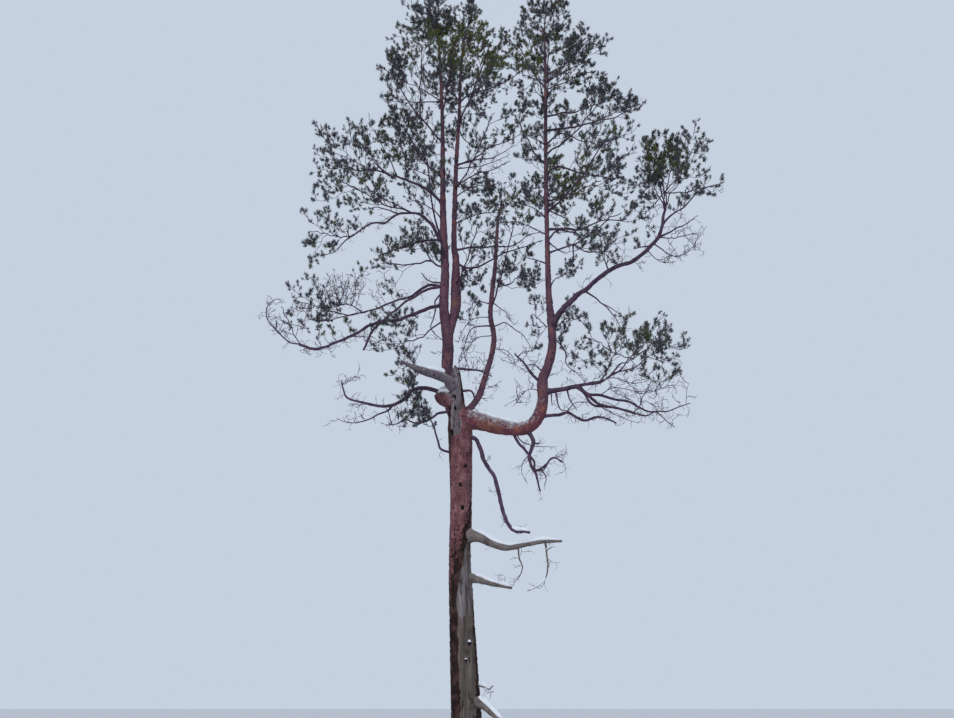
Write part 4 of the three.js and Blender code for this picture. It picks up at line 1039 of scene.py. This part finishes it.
def aside(way, turn, open_angle):
    """A direction that leaves way by an angle, turned about it."""
    side = unit(np.cross(way, (0, 0, 1.0) if abs(way[2]) < 0.9 else (1.0, 0, 0)))
    other = np.cross(way, side)
    return way * math.cos(open_angle) + (side * math.cos(turn) + other * math.sin(turn)) * math.sin(open_angle)


def shoot(start, way, length, space, random):
    """A last shoot, with a tuft of needles at its tip."""
    way = unit(way + random.normal(0, SHOOT_STRAY, 3) + (0, 0, SHOOT_LIFT))
    points = np.array((start, start + way * length))
    if space and depth_in(space, points[-1]) > SHOOT_SKIN:
        return
    keep_path(points, *SHOOT_RADII)
    tufts.append((points[-1], unit(way + (0, 0, TUFT_LIFT)), random.uniform(*TUFT_SIZES)))


def leafy_twig(start, way, length, space, random):
    """A side twig that bears a few shoots with needles."""
    points, way = wandering(start, way, length, 3, random, LEAFY_STRAY, 0.45)
    if space and depth_in(space, points[-1]) > TWIG_SKIN:
        length *= 0.6
        points, way = wandering(start, way, length, 3, random, LEAFY_STRAY, 0.3)
        if depth_in(space, points[-1]) > TWIG_SKIN:
            return
    keep_path(points, *LEAFY_RADII)
    shoot(points[-1], way, SHOOT_LENGTHS[0], space, random)
    line = Course(points, np.full(4, 1))
    turn = random.uniform(*ALL_ROUND)
    for share in np.arange(0.3, 0.98, SHOOT_STEP / max(length, 0.12)):
        turn += GOLDEN_ANGLE
        turned = aside(way, turn, SHOOT_ANGLE) + (0, 0, 0.2)
        shoot(line.at(share), turned, random.uniform(*SHOOT_LENGTHS), space, random)


def bare_twig(start, way, length, random, order=0):
    """A dead twig that winds, and forks into finer ones."""
    parts = int(np.clip(length / BARE_PART, 3, 10))
    way = unit(way)
    curl = aside(way, random.uniform(*ALL_ROUND), math.pi / 2) * random.uniform(*CURLS)
    points = [start]
    for part in range(parts):
        way = unit(way + np.cross(curl, way) + random.normal(0, BARE_STRAY, 3))
        curl = curl + random.normal(0, CURL_STRAY, 3)
        points.append(points[-1] + way * length / parts)
    keep_path(points, BARE_RADII[order], 0.65 * BARE_RADII[order])
    if order == 2:
        return
    for part in range(1, parts, 2):
        if random.uniform() < FORK_CHANCE:
            onward = unit(points[part + 1] - points[part])
            turned = aside(onward, random.uniform(*ALL_ROUND), random.uniform(*FORK_ANGLES))
            bare_twig(points[part], turned, length * random.uniform(*FORK_LENGTHS), random, order + 1)


def frond(start, end, first_radius, space, random, leafy, spacing=0.105):
    """A branch from its stem to the edge of its space, with side twigs all round."""
    length = float(np.linalg.norm(end - start))
    way = unit(end - start)
    sway, wave = (aside(way, random.uniform(*ALL_ROUND), math.pi / 2) * random.uniform(*much) * length
                  for much in FROND_SWAYS)
    shares = np.linspace(0, 1, FROND_POINTS)[:, None]
    points = start + (end - start) * shares + np.sin(shares * math.pi) * (sway - (0, 0, FROND_SAG * length))
    points = points + np.sin(shares * 2 * math.pi) * wave
    points[1:-1] += random.normal(0, FROND_STRAY, (FROND_POINTS - 2, 3))
    keep_path(points, first_radius, FROND_END)
    line = Course(points, np.full(FROND_POINTS, 1))
    turn = random.uniform(*ALL_ROUND)
    for share in np.arange(0.3, 0.99, spacing / length):
        turn += GOLDEN_ANGLE
        place = line.at(share)
        reach = length * (0.42 - 0.24 * share) * random.uniform(0.75, 1.2) + 0.05
        turned = aside(line.onward(share, 0.05), turn, random.uniform(0.75, 1.05))
        if leafy:
            leafy_twig(place, turned + (0, 0, 0.25), min(reach, LONGEST_LEAFY), space, random)
        else:
            bare_twig(place, turned, min(reach, LONGEST_BARE), random, 1 if share > 0.6 else 0)
    if leafy:
        shoot(points[-1], way, 0.05, None, random)
        shoot(points[-1], aside(way, turn, 0.6), 0.07, None, random)


# Foliage masses, by the rule of the solids and then on to finer twigs

def stem_course(start, start_radius, space):
    """The stem from its limb, through the middle of its space and on."""
    centre = space[0]
    along = centre - start
    distance = float(np.linalg.norm(along))
    middle = start + along / 2 - (0, 0, STEM_SAG * distance)
    reach = STEM_REACH / depth_in(space, centre + along / distance)
    end = centre + along * reach / distance
    return Course((start, middle, centre, end), [max(s * start_radius, STEM_LEAST_RADIUS) for s in STEM_TAPER])


def turned_to(onward, vectors):
    """Vectors turned as +Z turns to onward."""
    axis = np.cross((0, 0, 1.0), onward)
    sine, cosine = np.linalg.norm(axis), onward[2]
    if sine < 1e-9:
        return vectors * np.sign(cosine)
    axis = axis / sine
    return (vectors * cosine + np.cross(axis, vectors) * sine
            + axis * (vectors @ axis)[:, None] * (1 - cosine))


def fan(space, stem, draw, random, full):
    """Where the branches of a space start and end: those of the solids, and more between them."""
    centre, half = space[:2]
    section = math.pi / 3 * (half[0] * half[1] + half[1] * half[2] + half[0] * half[2])
    count = max(FEWEST_TWIGS, round(section * TWIGS_PER_SQUARE_METRE))
    onward = unit((stem.at(1.0) - stem.at(0.0)) / half)
    for index in range(count):
        turn_by, depth_by = draw(), draw()
        draw(), draw(), draw()
        fronds = max(1, int(full + random.uniform()))
        for extra in range(fronds):
            number = index + extra / fronds
            forward = 1 - FAN_DEPTH * (number + FAN_FIRST) / count
            ring = math.sqrt(max(0, 1 - forward * forward))
            turn = GOLDEN_ANGLE * number + turn_by * FAN_UNEVEN + extra * 2.4
            depth = TWIG_REACH + TWIG_REACH_SPREAD * depth_by - random.uniform(0.05, 0.4) * (extra > 0)
            way = turned_to(onward, np.array([[ring * math.cos(turn), ring * math.sin(turn), forward]]))[0]
            end = way * depth * half + centre
            share = max(TWIG_FIRST_SHARE, stem.nearest(end, 20) - TWIG_LEAD)
            yield stem.at(share), end, float(stem.radius(share))


for number, (name, on, at, full, *spaces) in enumerate(MASSES):
    spaces = [(np.array(row[:3]) * MM, np.array(row[3:6]) * MM, row[6:] == (BARE,)) for row in spaces]
    draw = seeded(FIRST_SEED + SEED_STEP * number)
    random = np.random.default_rng(FIRST_SEED + number)
    start = courses[on].at(at)
    grown = STEM_FIRST_RADIUS + STEM_RADIUS_SHARE * float(np.linalg.norm(spaces[0][0] - start))
    stem_radius = min(grown, STEM_WIDEST * float(courses[on].radius(at)))
    first_stem = stem_course(start, stem_radius, spaces[0])
    for index, space in enumerate(spaces):
        stem = first_stem
        if index:
            stem = stem_course(first_stem.at(BRANCH_SHARE), stem_radius * BRANCH_RADIUS, space)
        shares = np.linspace(0, 1, 13)
        points = stem.at(shares)
        points[1:-1] += random.normal(0, STEM_STRAY, (len(shares) - 2, 3))
        thick_paths.append(points)
        slim = SLIM_STEM * stem.radius(0)
        thick_radii.append(np.interp(shares, (0, 0.08, 1), (1.5 * slim, slim, 0.007)))
        for begin, end, radius in fan(space, stem, draw, random, full):
            frond(begin, end, min(THIN_WOOD, 0.5 * radius), space, random, not space[2])

# Side twigs on the leaders within the crown: from which share of each, and how many to a metre

LEADER_TWIGS = (("left_leader", 0.74, 8), ("middle_leader", 0.66, 8), ("right_leader", 0.72, 9),
                ("curved_leader", 0.86, 10))
for number, (name, first_share, to_a_metre) in enumerate(LEADER_TWIGS):
    random = np.random.default_rng(LEADER_SEED + number)
    course = courses[name]
    turn = 0.0
    for share in np.arange(first_share, 1.0, 1 / (to_a_metre * course.length)):
        turn += GOLDEN_ANGLE
        way = np.array((math.cos(turn), math.sin(turn), random.uniform(0.5, 1.1)))
        place = course.at(share)
        reach = random.uniform(0.3, 0.75)
        end = place + unit(way) * reach
        end[2] = min(end[2], HIGHEST_SHOOT)
        frond(place, end, LEADER_FROND, None, random, LEAFY, 0.13)

# Finer boughs as the view shows them

dead_paths, dead_radii = [], []
BARKLESS = ("j1", "j2", "j3", "fork_stub", "fork_tine")
for number, (name, on, first, last, drift, twigs, leafy, pixels) in enumerate(BOUGHS):
    random = np.random.default_rng(BOUGH_SEED + number)
    shares = np.linspace(0, 1, 121)
    line = courses[on].at(shares)
    start = line[np.argmin(np.linalg.norm(to_pixel(line) - pixels[0], axis=1))]
    way = run_along(pixels)
    depths = start[1] + drift * (way / way[-1]) ** 1.2
    points = np.array([start] + [at_pixel(u, v, y) for (u, v), y in zip(pixels[1:], depths[1:])])
    course = Course(points, np.linspace(first, last, len(points)) * MM)
    shares = course.even(0.05)
    course = courses[name] = Course(crooked(course.at(shares), BOUGH_CROOK), course.radius(shares))
    shares = course.even(0.05)
    paths, radii = (dead_paths, dead_radii) if name in BARKLESS else (thick_paths, thick_radii)
    paths.append(course.at(shares))
    radii.append(course.radius(shares) * (1 + 0.5 * np.exp(-np.arange(len(shares)) / 1.5)))
    turn = random.uniform(*ALL_ROUND)
    for share in np.arange(0.25, 1.0, 1 / max(1, twigs * course.length)):
        turn += GOLDEN_ANGLE
        place = course.at(share)
        onward = course.onward(share)
        turned = aside(onward, turn, random.uniform(*FORK_ANGLES))
        if leafy and share > 0.45:
            leafy_twig(place, turned + (0, 0, 0.3), random.uniform(0.14, 0.3), None, random)
        else:
            bare_twig(place, turned, random.uniform(0.1, 0.32), random, 1)
    if leafy:
        shoot(points[-1], onward, 0.06, None, random)

# Sprays and dead twigs that reach into the crown's open parts: the pixels of the view they grow to.
# Each leaves the limb or bough that is nearest below it

LEAFY_ENDS = (
    (392, 56), (396, 66), (386, 70), (390, 76), (464, 30), (476, 34), (470, 24), (486, 56), (492, 62),
    (484, 72), (532, 58), (542, 54), (604, 78), (612, 86), (436, 184), (440, 176), (646, 150), (652, 160),
    (646, 168), (654, 178), (660, 170), (462, 202), (470, 208), (456, 212), (534, 204), (540, 198), (560, 204),
    (566, 196), (414, 412), (420, 420), (410, 418), (556, 322), (564, 328), (640, 160), (644, 142), (388, 146),
    (396, 150), (390, 158), (384, 154), (394, 246), (400, 240), (416, 240), (410, 250), (664, 134), (669, 140),
    (664, 148), (667, 156), (663, 163), (672, 148), (388, 238), (634, 106), (628, 112), (640, 100), (650, 172),
    (656, 176), (648, 180), (474, 104), (484, 98), (494, 50), (500, 58), (488, 46), (512, 52), (560, 36),
    (566, 42), (420, 246), (426, 252), (434, 248), (540, 128), (534, 134), (562, 128), (568, 136), (536, 106),
    (544, 100), (608, 146), (614, 156), (654, 168), (662, 180), (676, 150), (682, 158), (584, 198), (592, 206),
    (584, 244), (592, 250), (514, 268), (522, 276), (484, 106), (492, 98), (676, 372), (624, 320), (632, 314),
    (532, 56), (540, 64), (528, 66), (536, 50), (508, 78), (514, 86), (604, 148), (600, 160), (316, 320),
    (324, 316), (330, 328), (318, 330), (340, 226), (350, 222), (362, 272), (372, 268), (460, 318), (430, 8),
    (446, 12), (566, 28), (556, 38), (390, 80), (580, 74), (590, 84), (600, 82), (610, 98), (392, 58),
    (400, 50), (396, 122), (318, 128), (438, 172), (446, 182), (578, 84), (594, 96), (396, 336), (420, 348),
    (410, 356), (408, 400), (416, 408), (470, 296), (478, 304), (462, 286), (660, 350), (680, 350), (408, 4),
    (420, 12), (438, 6), (446, 20), (396, 36), (412, 30), (424, 38), (462, 30), (474, 40), (492, 34), (560, 30),
    (572, 40), (486, 58), (498, 66), (584, 58), (592, 66), (488, 84), (498, 92), (556, 82), (570, 88),
    (584, 80), (596, 90), (612, 92), (622, 100), (440, 108), (450, 100), (536, 104), (546, 112), (562, 106),
    (326, 130), (334, 136), (370, 126), (384, 118), (396, 130), (440, 130), (448, 140), (466, 126), (472, 138),
    (512, 128), (522, 138), (538, 132), (560, 132), (374, 156), (400, 160), (450, 164), (536, 158), (606, 150),
    (618, 160), (652, 150), (660, 162), (668, 156), (394, 178), (404, 186), (434, 178), (446, 188), (632, 182),
    (642, 176), (656, 182), (664, 174), (346, 204), (512, 204), (522, 210), (540, 200), (560, 198), (570, 206),
    (632, 204), (642, 198), (680, 204), (688, 198), (560, 226), (582, 224), (592, 232), (606, 250), (614, 242),
    (430, 244), (436, 256), (512, 270), (522, 278), (346, 322), (370, 318), (378, 326), (392, 318), (402, 326),
    (416, 318), (560, 318), (568, 326), (574, 314), (562, 342), (586, 344), (610, 366), (658, 366), (394, 374),
    (414, 390), (422, 400), (414, 414),
)
BARE_ENDS = (
    (336, 218), (346, 224), (356, 216), (368, 222), (378, 216), (390, 222), (400, 230), (410, 222), (412, 240),
    (462, 344), (468, 350), (474, 338), (460, 330), (392, 96), (404, 100), (414, 96), (410, 108), (500, 152),
    (506, 164), (492, 172), (480, 160), (470, 172), (646, 262), (676, 262), (688, 256), (696, 246), (700, 236),
    (392, 340), (400, 352), (414, 344), (426, 340), (384, 344), (396, 362), (430, 352), (378, 350), (460, 290),
    (556, 366), (560, 372), (566, 378), (678, 366), (670, 374), (682, 378), (676, 358), (486, 352), (480, 362),
    (318, 276), (326, 272), (334, 270), (342, 272), (350, 274), (358, 278), (366, 284), (372, 290), (330, 284),
    (344, 288), (356, 292), (376, 280), (384, 272), (392, 276), (360, 366), (356, 376), (362, 374), (536, 344),
    (540, 352), (534, 360), (546, 336), (664, 396), (650, 390), (636, 396), (494, 398), (518, 384), (464, 300),
    (470, 312), (462, 322), (474, 326), (460, 338), (472, 344), (464, 352), (476, 356), (496, 350), (506, 358),
    (514, 352), (494, 366), (520, 366), (528, 374), (516, 378), (524, 392), (514, 398), (530, 402), (566, 346),
    (574, 358), (562, 366), (580, 370), (592, 364), (604, 374), (618, 384), (640, 372), (652, 380), (664, 374),
    (672, 392), (564, 384), (570, 398), (590, 412), (602, 404), (628, 414), (650, 404), (680, 414), (476, 386),
    (484, 394), (474, 376), (500, 388), (508, 404), (340, 344), (356, 338), (372, 346), (366, 330), (350, 404),
    (366, 408), (380, 422), (398, 414), (410, 424), (346, 414), (660, 260), (674, 252), (690, 240), (686, 228),
    (702, 226), (300, 340), (284, 330), (276, 316), (290, 308), (268, 302), (276, 308), (270, 322), (284, 300),
    (282, 320), (292, 322), (502, 360), (490, 372), (498, 384),
)
NOT_ANCHORS = ("trunk", "arm", "snow_limb", "low_dead_limb", "foot_limb", "hanging_limb", "knot_high",
               "knot_low", "fork_stub", "fork_tine", "old_stub")
END_FRONDS = ((LEAFY, LEAFY_ENDS, LEAFY_FROND, 0.1), (BARE, BARE_ENDS, BARE_FROND, 0.13))
random = np.random.default_rng(END_SEED)
anchors = np.concatenate([line.at(np.linspace(0.1, 0.97, 60)) for name, line in courses.items()
                          if name not in NOT_ANCHORS])
anchor_pixels = to_pixel(anchors)
for leafy, ends, radius, spacing in END_FRONDS:
    for end in ends:
        step = anchor_pixels - end
        gap = np.linalg.norm(step, axis=1)
        pick = np.argmin(gap + 1.5 * np.maximum(0, -step[:, 1]) + 200 * (gap < 14))
        start = anchors[pick]
        drift = random.uniform(-0.6, 0.6) * min(1, gap[pick] / 30)
        frond(start, at_pixel(*end, start[1] + drift), radius, None, random, leafy, spacing)

# Dead twigs along the bare limbs: how many to a metre

DEAD = {"tangle_limb": 9, "right_dead_bough": 7, "west_dead_bough": 6, "drooping_bough": 6,
        "south_east_bough": 4, "hanging_limb": 2, "snow_limb": 2, "low_dead_limb": 2, "east_bough": 3,
        "west_low_bough": 6, "west_mid_bough": 4, "west_high_bough": 4, "west_top_bough": 4,
        "curved_leader": 3, "snag_limb": 4}
for number, (name, to_a_metre) in enumerate(DEAD.items()):
    random = np.random.default_rng(DEAD_SEED + number)
    course = courses[name]
    turn = random.uniform(*ALL_ROUND)
    for share in np.arange(0.3, 1.0, 1 / (to_a_metre * course.length)):
        turn += GOLDEN_ANGLE
        turned = aside(course.onward(share), turn, random.uniform(0.7, 1.2))
        bare_twig(course.at(share), turned, random.uniform(0.15, 0.45), random, int(random.uniform() < 0.5))

# Needles, in pairs that open from one root, all round the last stretch of each shoot

def needle_points(group, random):
    """The corners of the needles of some tufts: for each pair, two at its root and its two tips."""
    base, way, size = (np.array([t[k] for t in group]) for k in range(3))
    count = len(group)
    size = size * random.choice((SMALL_TUFT, LARGE_TUFT), count, p=(1 - LARGE_SHARE, LARGE_SHARE))
    side = unit(np.cross(way, random.normal(0, 1, (count, 3))))
    other = np.cross(way, side)
    share = (np.arange(PAIRS) + 0.5) / PAIRS
    turn = GOLDEN_ANGLE * np.arange(PAIRS) + random.uniform(*ALL_ROUND, (count, 1))
    opening = FIRST_OPEN + (LAST_OPEN - FIRST_OPEN) * share
    opening = np.radians(opening + random.uniform(-OPEN_SPREAD, OPEN_SPREAD, (count, PAIRS)))[..., None]
    out = side[:, None] * np.cos(turn)[..., None] + other[:, None] * np.sin(turn)[..., None]
    ahead = way[:, None] * np.cos(opening) + out * np.sin(opening)
    root = base[:, None] + way[:, None] * (TUFT_LENGTH * (share - 0.85) * size[:, None])[..., None]
    length = (NEEDLE * random.uniform(0.8, 1.15, (count, PAIRS)) * size[:, None])[..., None]
    across = unit(np.cross(ahead, out + 0.3 * random.normal(0, 1, out.shape)))
    lifted = np.cross(across, ahead)
    half = across * (NEEDLE_WIDTH * 0.5 * size)[:, None, None]
    tips = [root + (ahead + lifted * part + across * 0.6 * part) * length for part in (-PAIR_OPEN, PAIR_OPEN)]
    return np.stack((root - half, root + half, *tips), 2)


# Where the view shows sky between bare twigs: the middle and half sizes in pixels of the view, and
# the share of tufts that fell there
OPEN_PLACES = (
    (420, 102, 26, 9, 0.75), (416, 84, 12, 12, 0.5), (444, 84, 22, 10, 0.55), (420, 109, 12, 11, 0.5),
    (468, 84, 11, 11, 0.3), (540, 14, 12, 11, 0.3), (540, 38, 12, 11, 0.3), (468, 12, 12, 12, 0.4),
    (420, 228, 12, 10, 0.45), (396, 372, 10, 10, 0.4), (348, 300, 11, 11, 0.5), (324, 300, 11, 11, 0.3),
    (638, 156, 9, 18, 0.8), (711, 174, 9, 10, 0.5), (370, 98, 14, 22, 0.9), (348, 282, 16, 14, 0.7),
    (324, 298, 14, 10, 0.4), (302, 300, 12, 12, 0.4), (396, 340, 14, 14, 0.6), (420, 342, 12, 14, 0.6),
    (466, 12, 8, 12, 0.5), (540, 84, 14, 10, 0.6), (516, 180, 10, 12, 0.4), (492, 176, 12, 12, 0.35),
    (636, 372, 12, 12, 0.5), (684, 346, 10, 10, 0.6), (684, 206, 10, 10, 0.4), (492, 84, 12, 10, 0.4),
    (420, 180, 12, 8, 0.2), (534, 36, 10, 10, 0.2), (636, 220, 10, 8, 0.6), (588, 252, 10, 8, 0.3),
    (408, 72, 10, 8, 0.4), (408, 228, 12, 12, 0.4), (348, 228, 12, 10, 0.4), (372, 276, 12, 10, 0.5),
    (396, 228, 10, 8, 0.4), (612, 252, 12, 10, 0.3), (660, 368, 12, 10, 0.7), (444, 156, 10, 10, 0.3),
    (420, 36, 10, 10, 0.3), (468, 84, 10, 8, 0.3), (324, 132, 10, 10, 0.4), (612, 204, 10, 10, 0.4),
    (612, 108, 10, 8, 0.25), (588, 372, 8, 8, 0.4), (708, 182, 10, 8, 0.6),
)
# Where sunlight is painted on the crown, as greener and lighter needles: the middle and width in pixels of the
# view, and by how much
LIT_PLACES = (
    (455, 42, 24, 1.2), (478, 58, 16, 0.9), (482, 26, 14, 0.5), (430, 30, 14, 0.4), (530, 52, 20, 0.8),
    (575, 172, 26, 0.9), (668, 165, 24, 0.8), (385, 150, 22, 0.5), (345, 186, 20, 0.6), (505, 62, 10, 0.6),
    (620, 128, 16, 0.4), (650, 335, 22, 0.4), (565, 100, 18, 0.4), (500, 200, 16, 0.5),
)
# Where each shade of needles passes to the next, and the place and share of brown tufts among them
SHADE_STEPS = (-0.3, 0.1, 0.6, 0.95)
BROWN, BROWN_SHARE = 5, 0.03

low_corner, high_corner = np.array(cad_box)
tufts = [t for t in tufts if np.all(t[0] > low_corner + 0.03) and np.all(t[0] < high_corner - 0.03)]
spots = to_pixel(np.array([t[0] for t in tufts]))
fall = np.full(len(tufts), USUAL_FALL)
for u, v, wide, high, part in OPEN_PLACES:
    inside = ((spots[:, 0] - u) / wide) ** 2 + ((spots[:, 1] - v) / high) ** 2 < 1
    fall = np.where(inside, np.maximum(fall, part), fall)
kept = np.random.default_rng(FALL_SEED).uniform(0, 1, len(tufts)) >= fall
tufts = [tufts[k] for k in np.flatnonzero(kept)]

bags = []
random = np.random.default_rng(NEEDLE_SEED)
order = np.argsort([t[0][0] + 0.37 * t[0][1] for t in tufts], kind="stable")
for first in range(0, len(order), TUFT_GROUP):
    group = [tufts[k] for k in order[first:first + TUFT_GROUP]]
    if not bags or sum(len(f) for f in bags[-1].faces) + TUFT_GROUP * PAIRS * 2 > MOST_TRIANGLES:
        bags.append(Bag())
    points = needle_points(group, random)
    places = np.array([t[0] for t in group])
    shade = noise(places * (1.1, 1.1, 1.1), 51) * 0.6 + random.normal(0, 0.3, len(group))
    # Painted sunlight: tufts near these places move up to the olive and lit shades
    for u, v, wide, strong in LIT_PLACES:
        off = np.linalg.norm(to_pixel(places) - (u, v), axis=1) / wide
        shade = shade + strong * np.exp(-off ** 2)
    kind = np.digitize(shade, SHADE_STEPS)
    kind = np.where(random.uniform(0, 1, len(group)) < BROWN_SHARE, BROWN, kind)
    roots = np.arange(len(group) * PAIRS)[:, None, None] * 4
    faces = (np.array([[0, 1, 2], [1, 0, 3]])[None] + roots).reshape(-1, 3)
    bags[-1].add(points, faces, np.repeat(kind, PAIRS * 2))

foliage_nodes = [row[0] for row in MASSES if row[0].startswith("foliage")]
for number, bag in enumerate(bags):
    piece = mesh_object(f"needles_{number + 1}", bag, NEEDLE_SHADES, False)
    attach(piece, "root")
    if number == 0:
        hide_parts(*foliage_nodes)

half = len(thin_paths) // 2
for number, part in enumerate((slice(0, half), slice(half, None))):
    bag = Bag()
    thin_tubes(bag, thin_paths[part], thin_radii[part])
    piece = mesh_object(f"fine_twigs_{number + 1}", bag, (TWIG_BARK,), True)
    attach(piece, "root")
    if number == 0:
        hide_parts(*[row[0] for row in MASSES if row[0].startswith("twigs")])
bag = Bag()
thin_tubes(bag, thick_paths, thick_radii, 6)
twigs = mesh_object("branches", bag, (BOUGH_BARK,), True)
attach(twigs, "root")
bag = Bag()
thin_tubes(bag, dead_paths, dead_radii, 8)
twigs = mesh_object("barkless_twigs", bag, (GREY_BOUGH,), True)
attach(twigs, "root")

# Snow on the upper sides of the dead limbs: from where to where along each, as shares of its length,
# its height in metres, how far round it reaches to each side, in degrees, and its seed

SNOW_PLACES = (
    ("arm", 0.2, 0.9, 0.026, 40, 1), ("old_stub", 0.3, 0.82, 0.05, 62, 2),
    ("broken_limb", 0.4, 0.68, 0.032, 44, 3),
    ("snow_limb", 0.12, 0.98, 0.03, 52, 4), ("hanging_limb", 0.78, 0.99, 0.03, 66, 5),
    ("low_dead_limb", 0.25, 0.97, 0.028, 52, 6), ("foot_limb", 0.25, 0.96, 0.036, 58, 7),
    ("j1", 0.6, 0.95, 0.010, 95, 8), ("j2", 0.0, 1.0, 0.016, 95, 9), ("j3", 0.0, 0.6, 0.008, 90, 10),
    ("knot_high", 0.5, 1.0, 0.016, 36, 13), ("knot_low", 0.5, 1.0, 0.012, 32, 14),
    ("fork_stub", 0.2, 1.0, 0.03, 90, 11), ("fork_tine", 0.1, 1.0, 0.02, 90, 12),
)
SNOW_SIDES = 13
snow = Bag()


def lay_snow(bag, name, first, last, height, spread, seed):
    """A cap of snow along a stretch of a limb, closed below and at its ends."""
    course = courses[name]
    shares = np.linspace(first, last, max(8, int((last - first) * course.length / 0.02)))
    centres = course.at(shares)
    along = unit(np.gradient(centres, axis=0))
    up = unit(np.array((0, 0, 1.0)) - along * along[:, 2:3])
    side = np.cross(along, up)
    radius = course.radius(shares)
    if any(row[0] == name for row in LIMBS):
        radius = radius * 1.08 * swollen(name, shares * course.length)
    inner = np.linspace(0, 1, len(shares))
    ends = np.clip(np.minimum(inner, 1 - inner) * 8, 0, 1) ** 0.6
    run = shares * course.length
    lumps = 1 + 0.3 * noise(np.stack((run * 5, 0 * run, 0 * run + seed), -1), 31)
    ragged = noise(np.stack((run * 9, 0 * run + 3, 0 * run + seed), -1), 33)
    thick = (height * ends * lumps * np.clip(1.25 - np.abs(along[:, 2]), 0.1, 1))[:, None]
    wide = np.radians(spread) * (0.75 + 0.25 * ends) * (1 + 0.16 * ragged)
    turns = np.linspace(-1, 1, SNOW_SIDES)
    turn = (turns * wide[:, None])[..., None]
    surface = up[:, None] * np.cos(turn) + side[:, None] * np.sin(turn)
    crown = 1 - turns ** 2
    top = centres[:, None] + surface * (radius[:, None] * 1.03 + 0.004 + 0.35 * thick * crown ** 0.5)[..., None]
    top = top + up[:, None] * (thick * crown ** 0.7)[..., None]
    under = centres[:, None] + surface[:, ::-1] * (radius[:, None] * 0.85)[..., None]
    points = np.concatenate((top, under), 1)
    rows, sides = points.shape[:2]
    root = bag.count
    bag.add(points, grid_faces(rows, sides))
    end = np.arange(sides)
    bag.join(end[None, ::-1] + root)
    bag.join(end[None] + (rows - 1) * sides + root)


for row in SNOW_PLACES:
    lay_snow(snow, *row)
piece = mesh_object("snow", snow, (SNOW,), True)
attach(piece, "root")

# Floor, light and camera

SKY_COLOUR = (0.565, 0.635, 0.745, 1)
SUN_STRENGTH = 0.9
SUN_SIZE, SUN_TILT, SUN_TURN = math.radians(50), math.radians(42), math.radians(-24)

bpy.ops.mesh.primitive_plane_add(size=400)
floor = bpy.context.object
floor.name = "floor"
grey_floor = mottled("floor", 0.9, ((0.3, (0.62, 0.63, 0.65)), (0.7, (0.66, 0.67, 0.69))), 0.4, bump=0.001)
floor.data.materials.append(grey_floor)

world = bpy.data.worlds.new("sky")
world.use_nodes = True
background = world.node_tree.nodes["Background"]
background.inputs["Color"].default_value = SKY_COLOUR
background.inputs["Strength"].default_value = 1.0
bpy.context.scene.world = world
sun = bpy.data.objects.new("soft_light", bpy.data.lights.new("soft_light", "SUN"))
sun.data.energy = SUN_STRENGTH
sun.data.angle = SUN_SIZE
sun.rotation_euler = (SUN_TILT, SUN_TURN, 0)
bpy.context.collection.objects.link(sun)

camera = bpy.data.objects.new("camera", bpy.data.cameras.new("camera"))
camera.location = CAMERA_PLACE
camera.rotation_euler = (math.pi / 2 + CAMERA_PITCH, 0, 0)
camera.data.sensor_width = SENSOR_WIDTH
camera.data.lens = SENSOR_WIDTH * FOCAL_PIXELS / PHOTO_WIDTH
camera.data.clip_end = 500
bpy.context.collection.objects.link(camera)
bpy.context.scene.camera = camera
bpy.context.scene.view_settings.view_transform = "Standard"
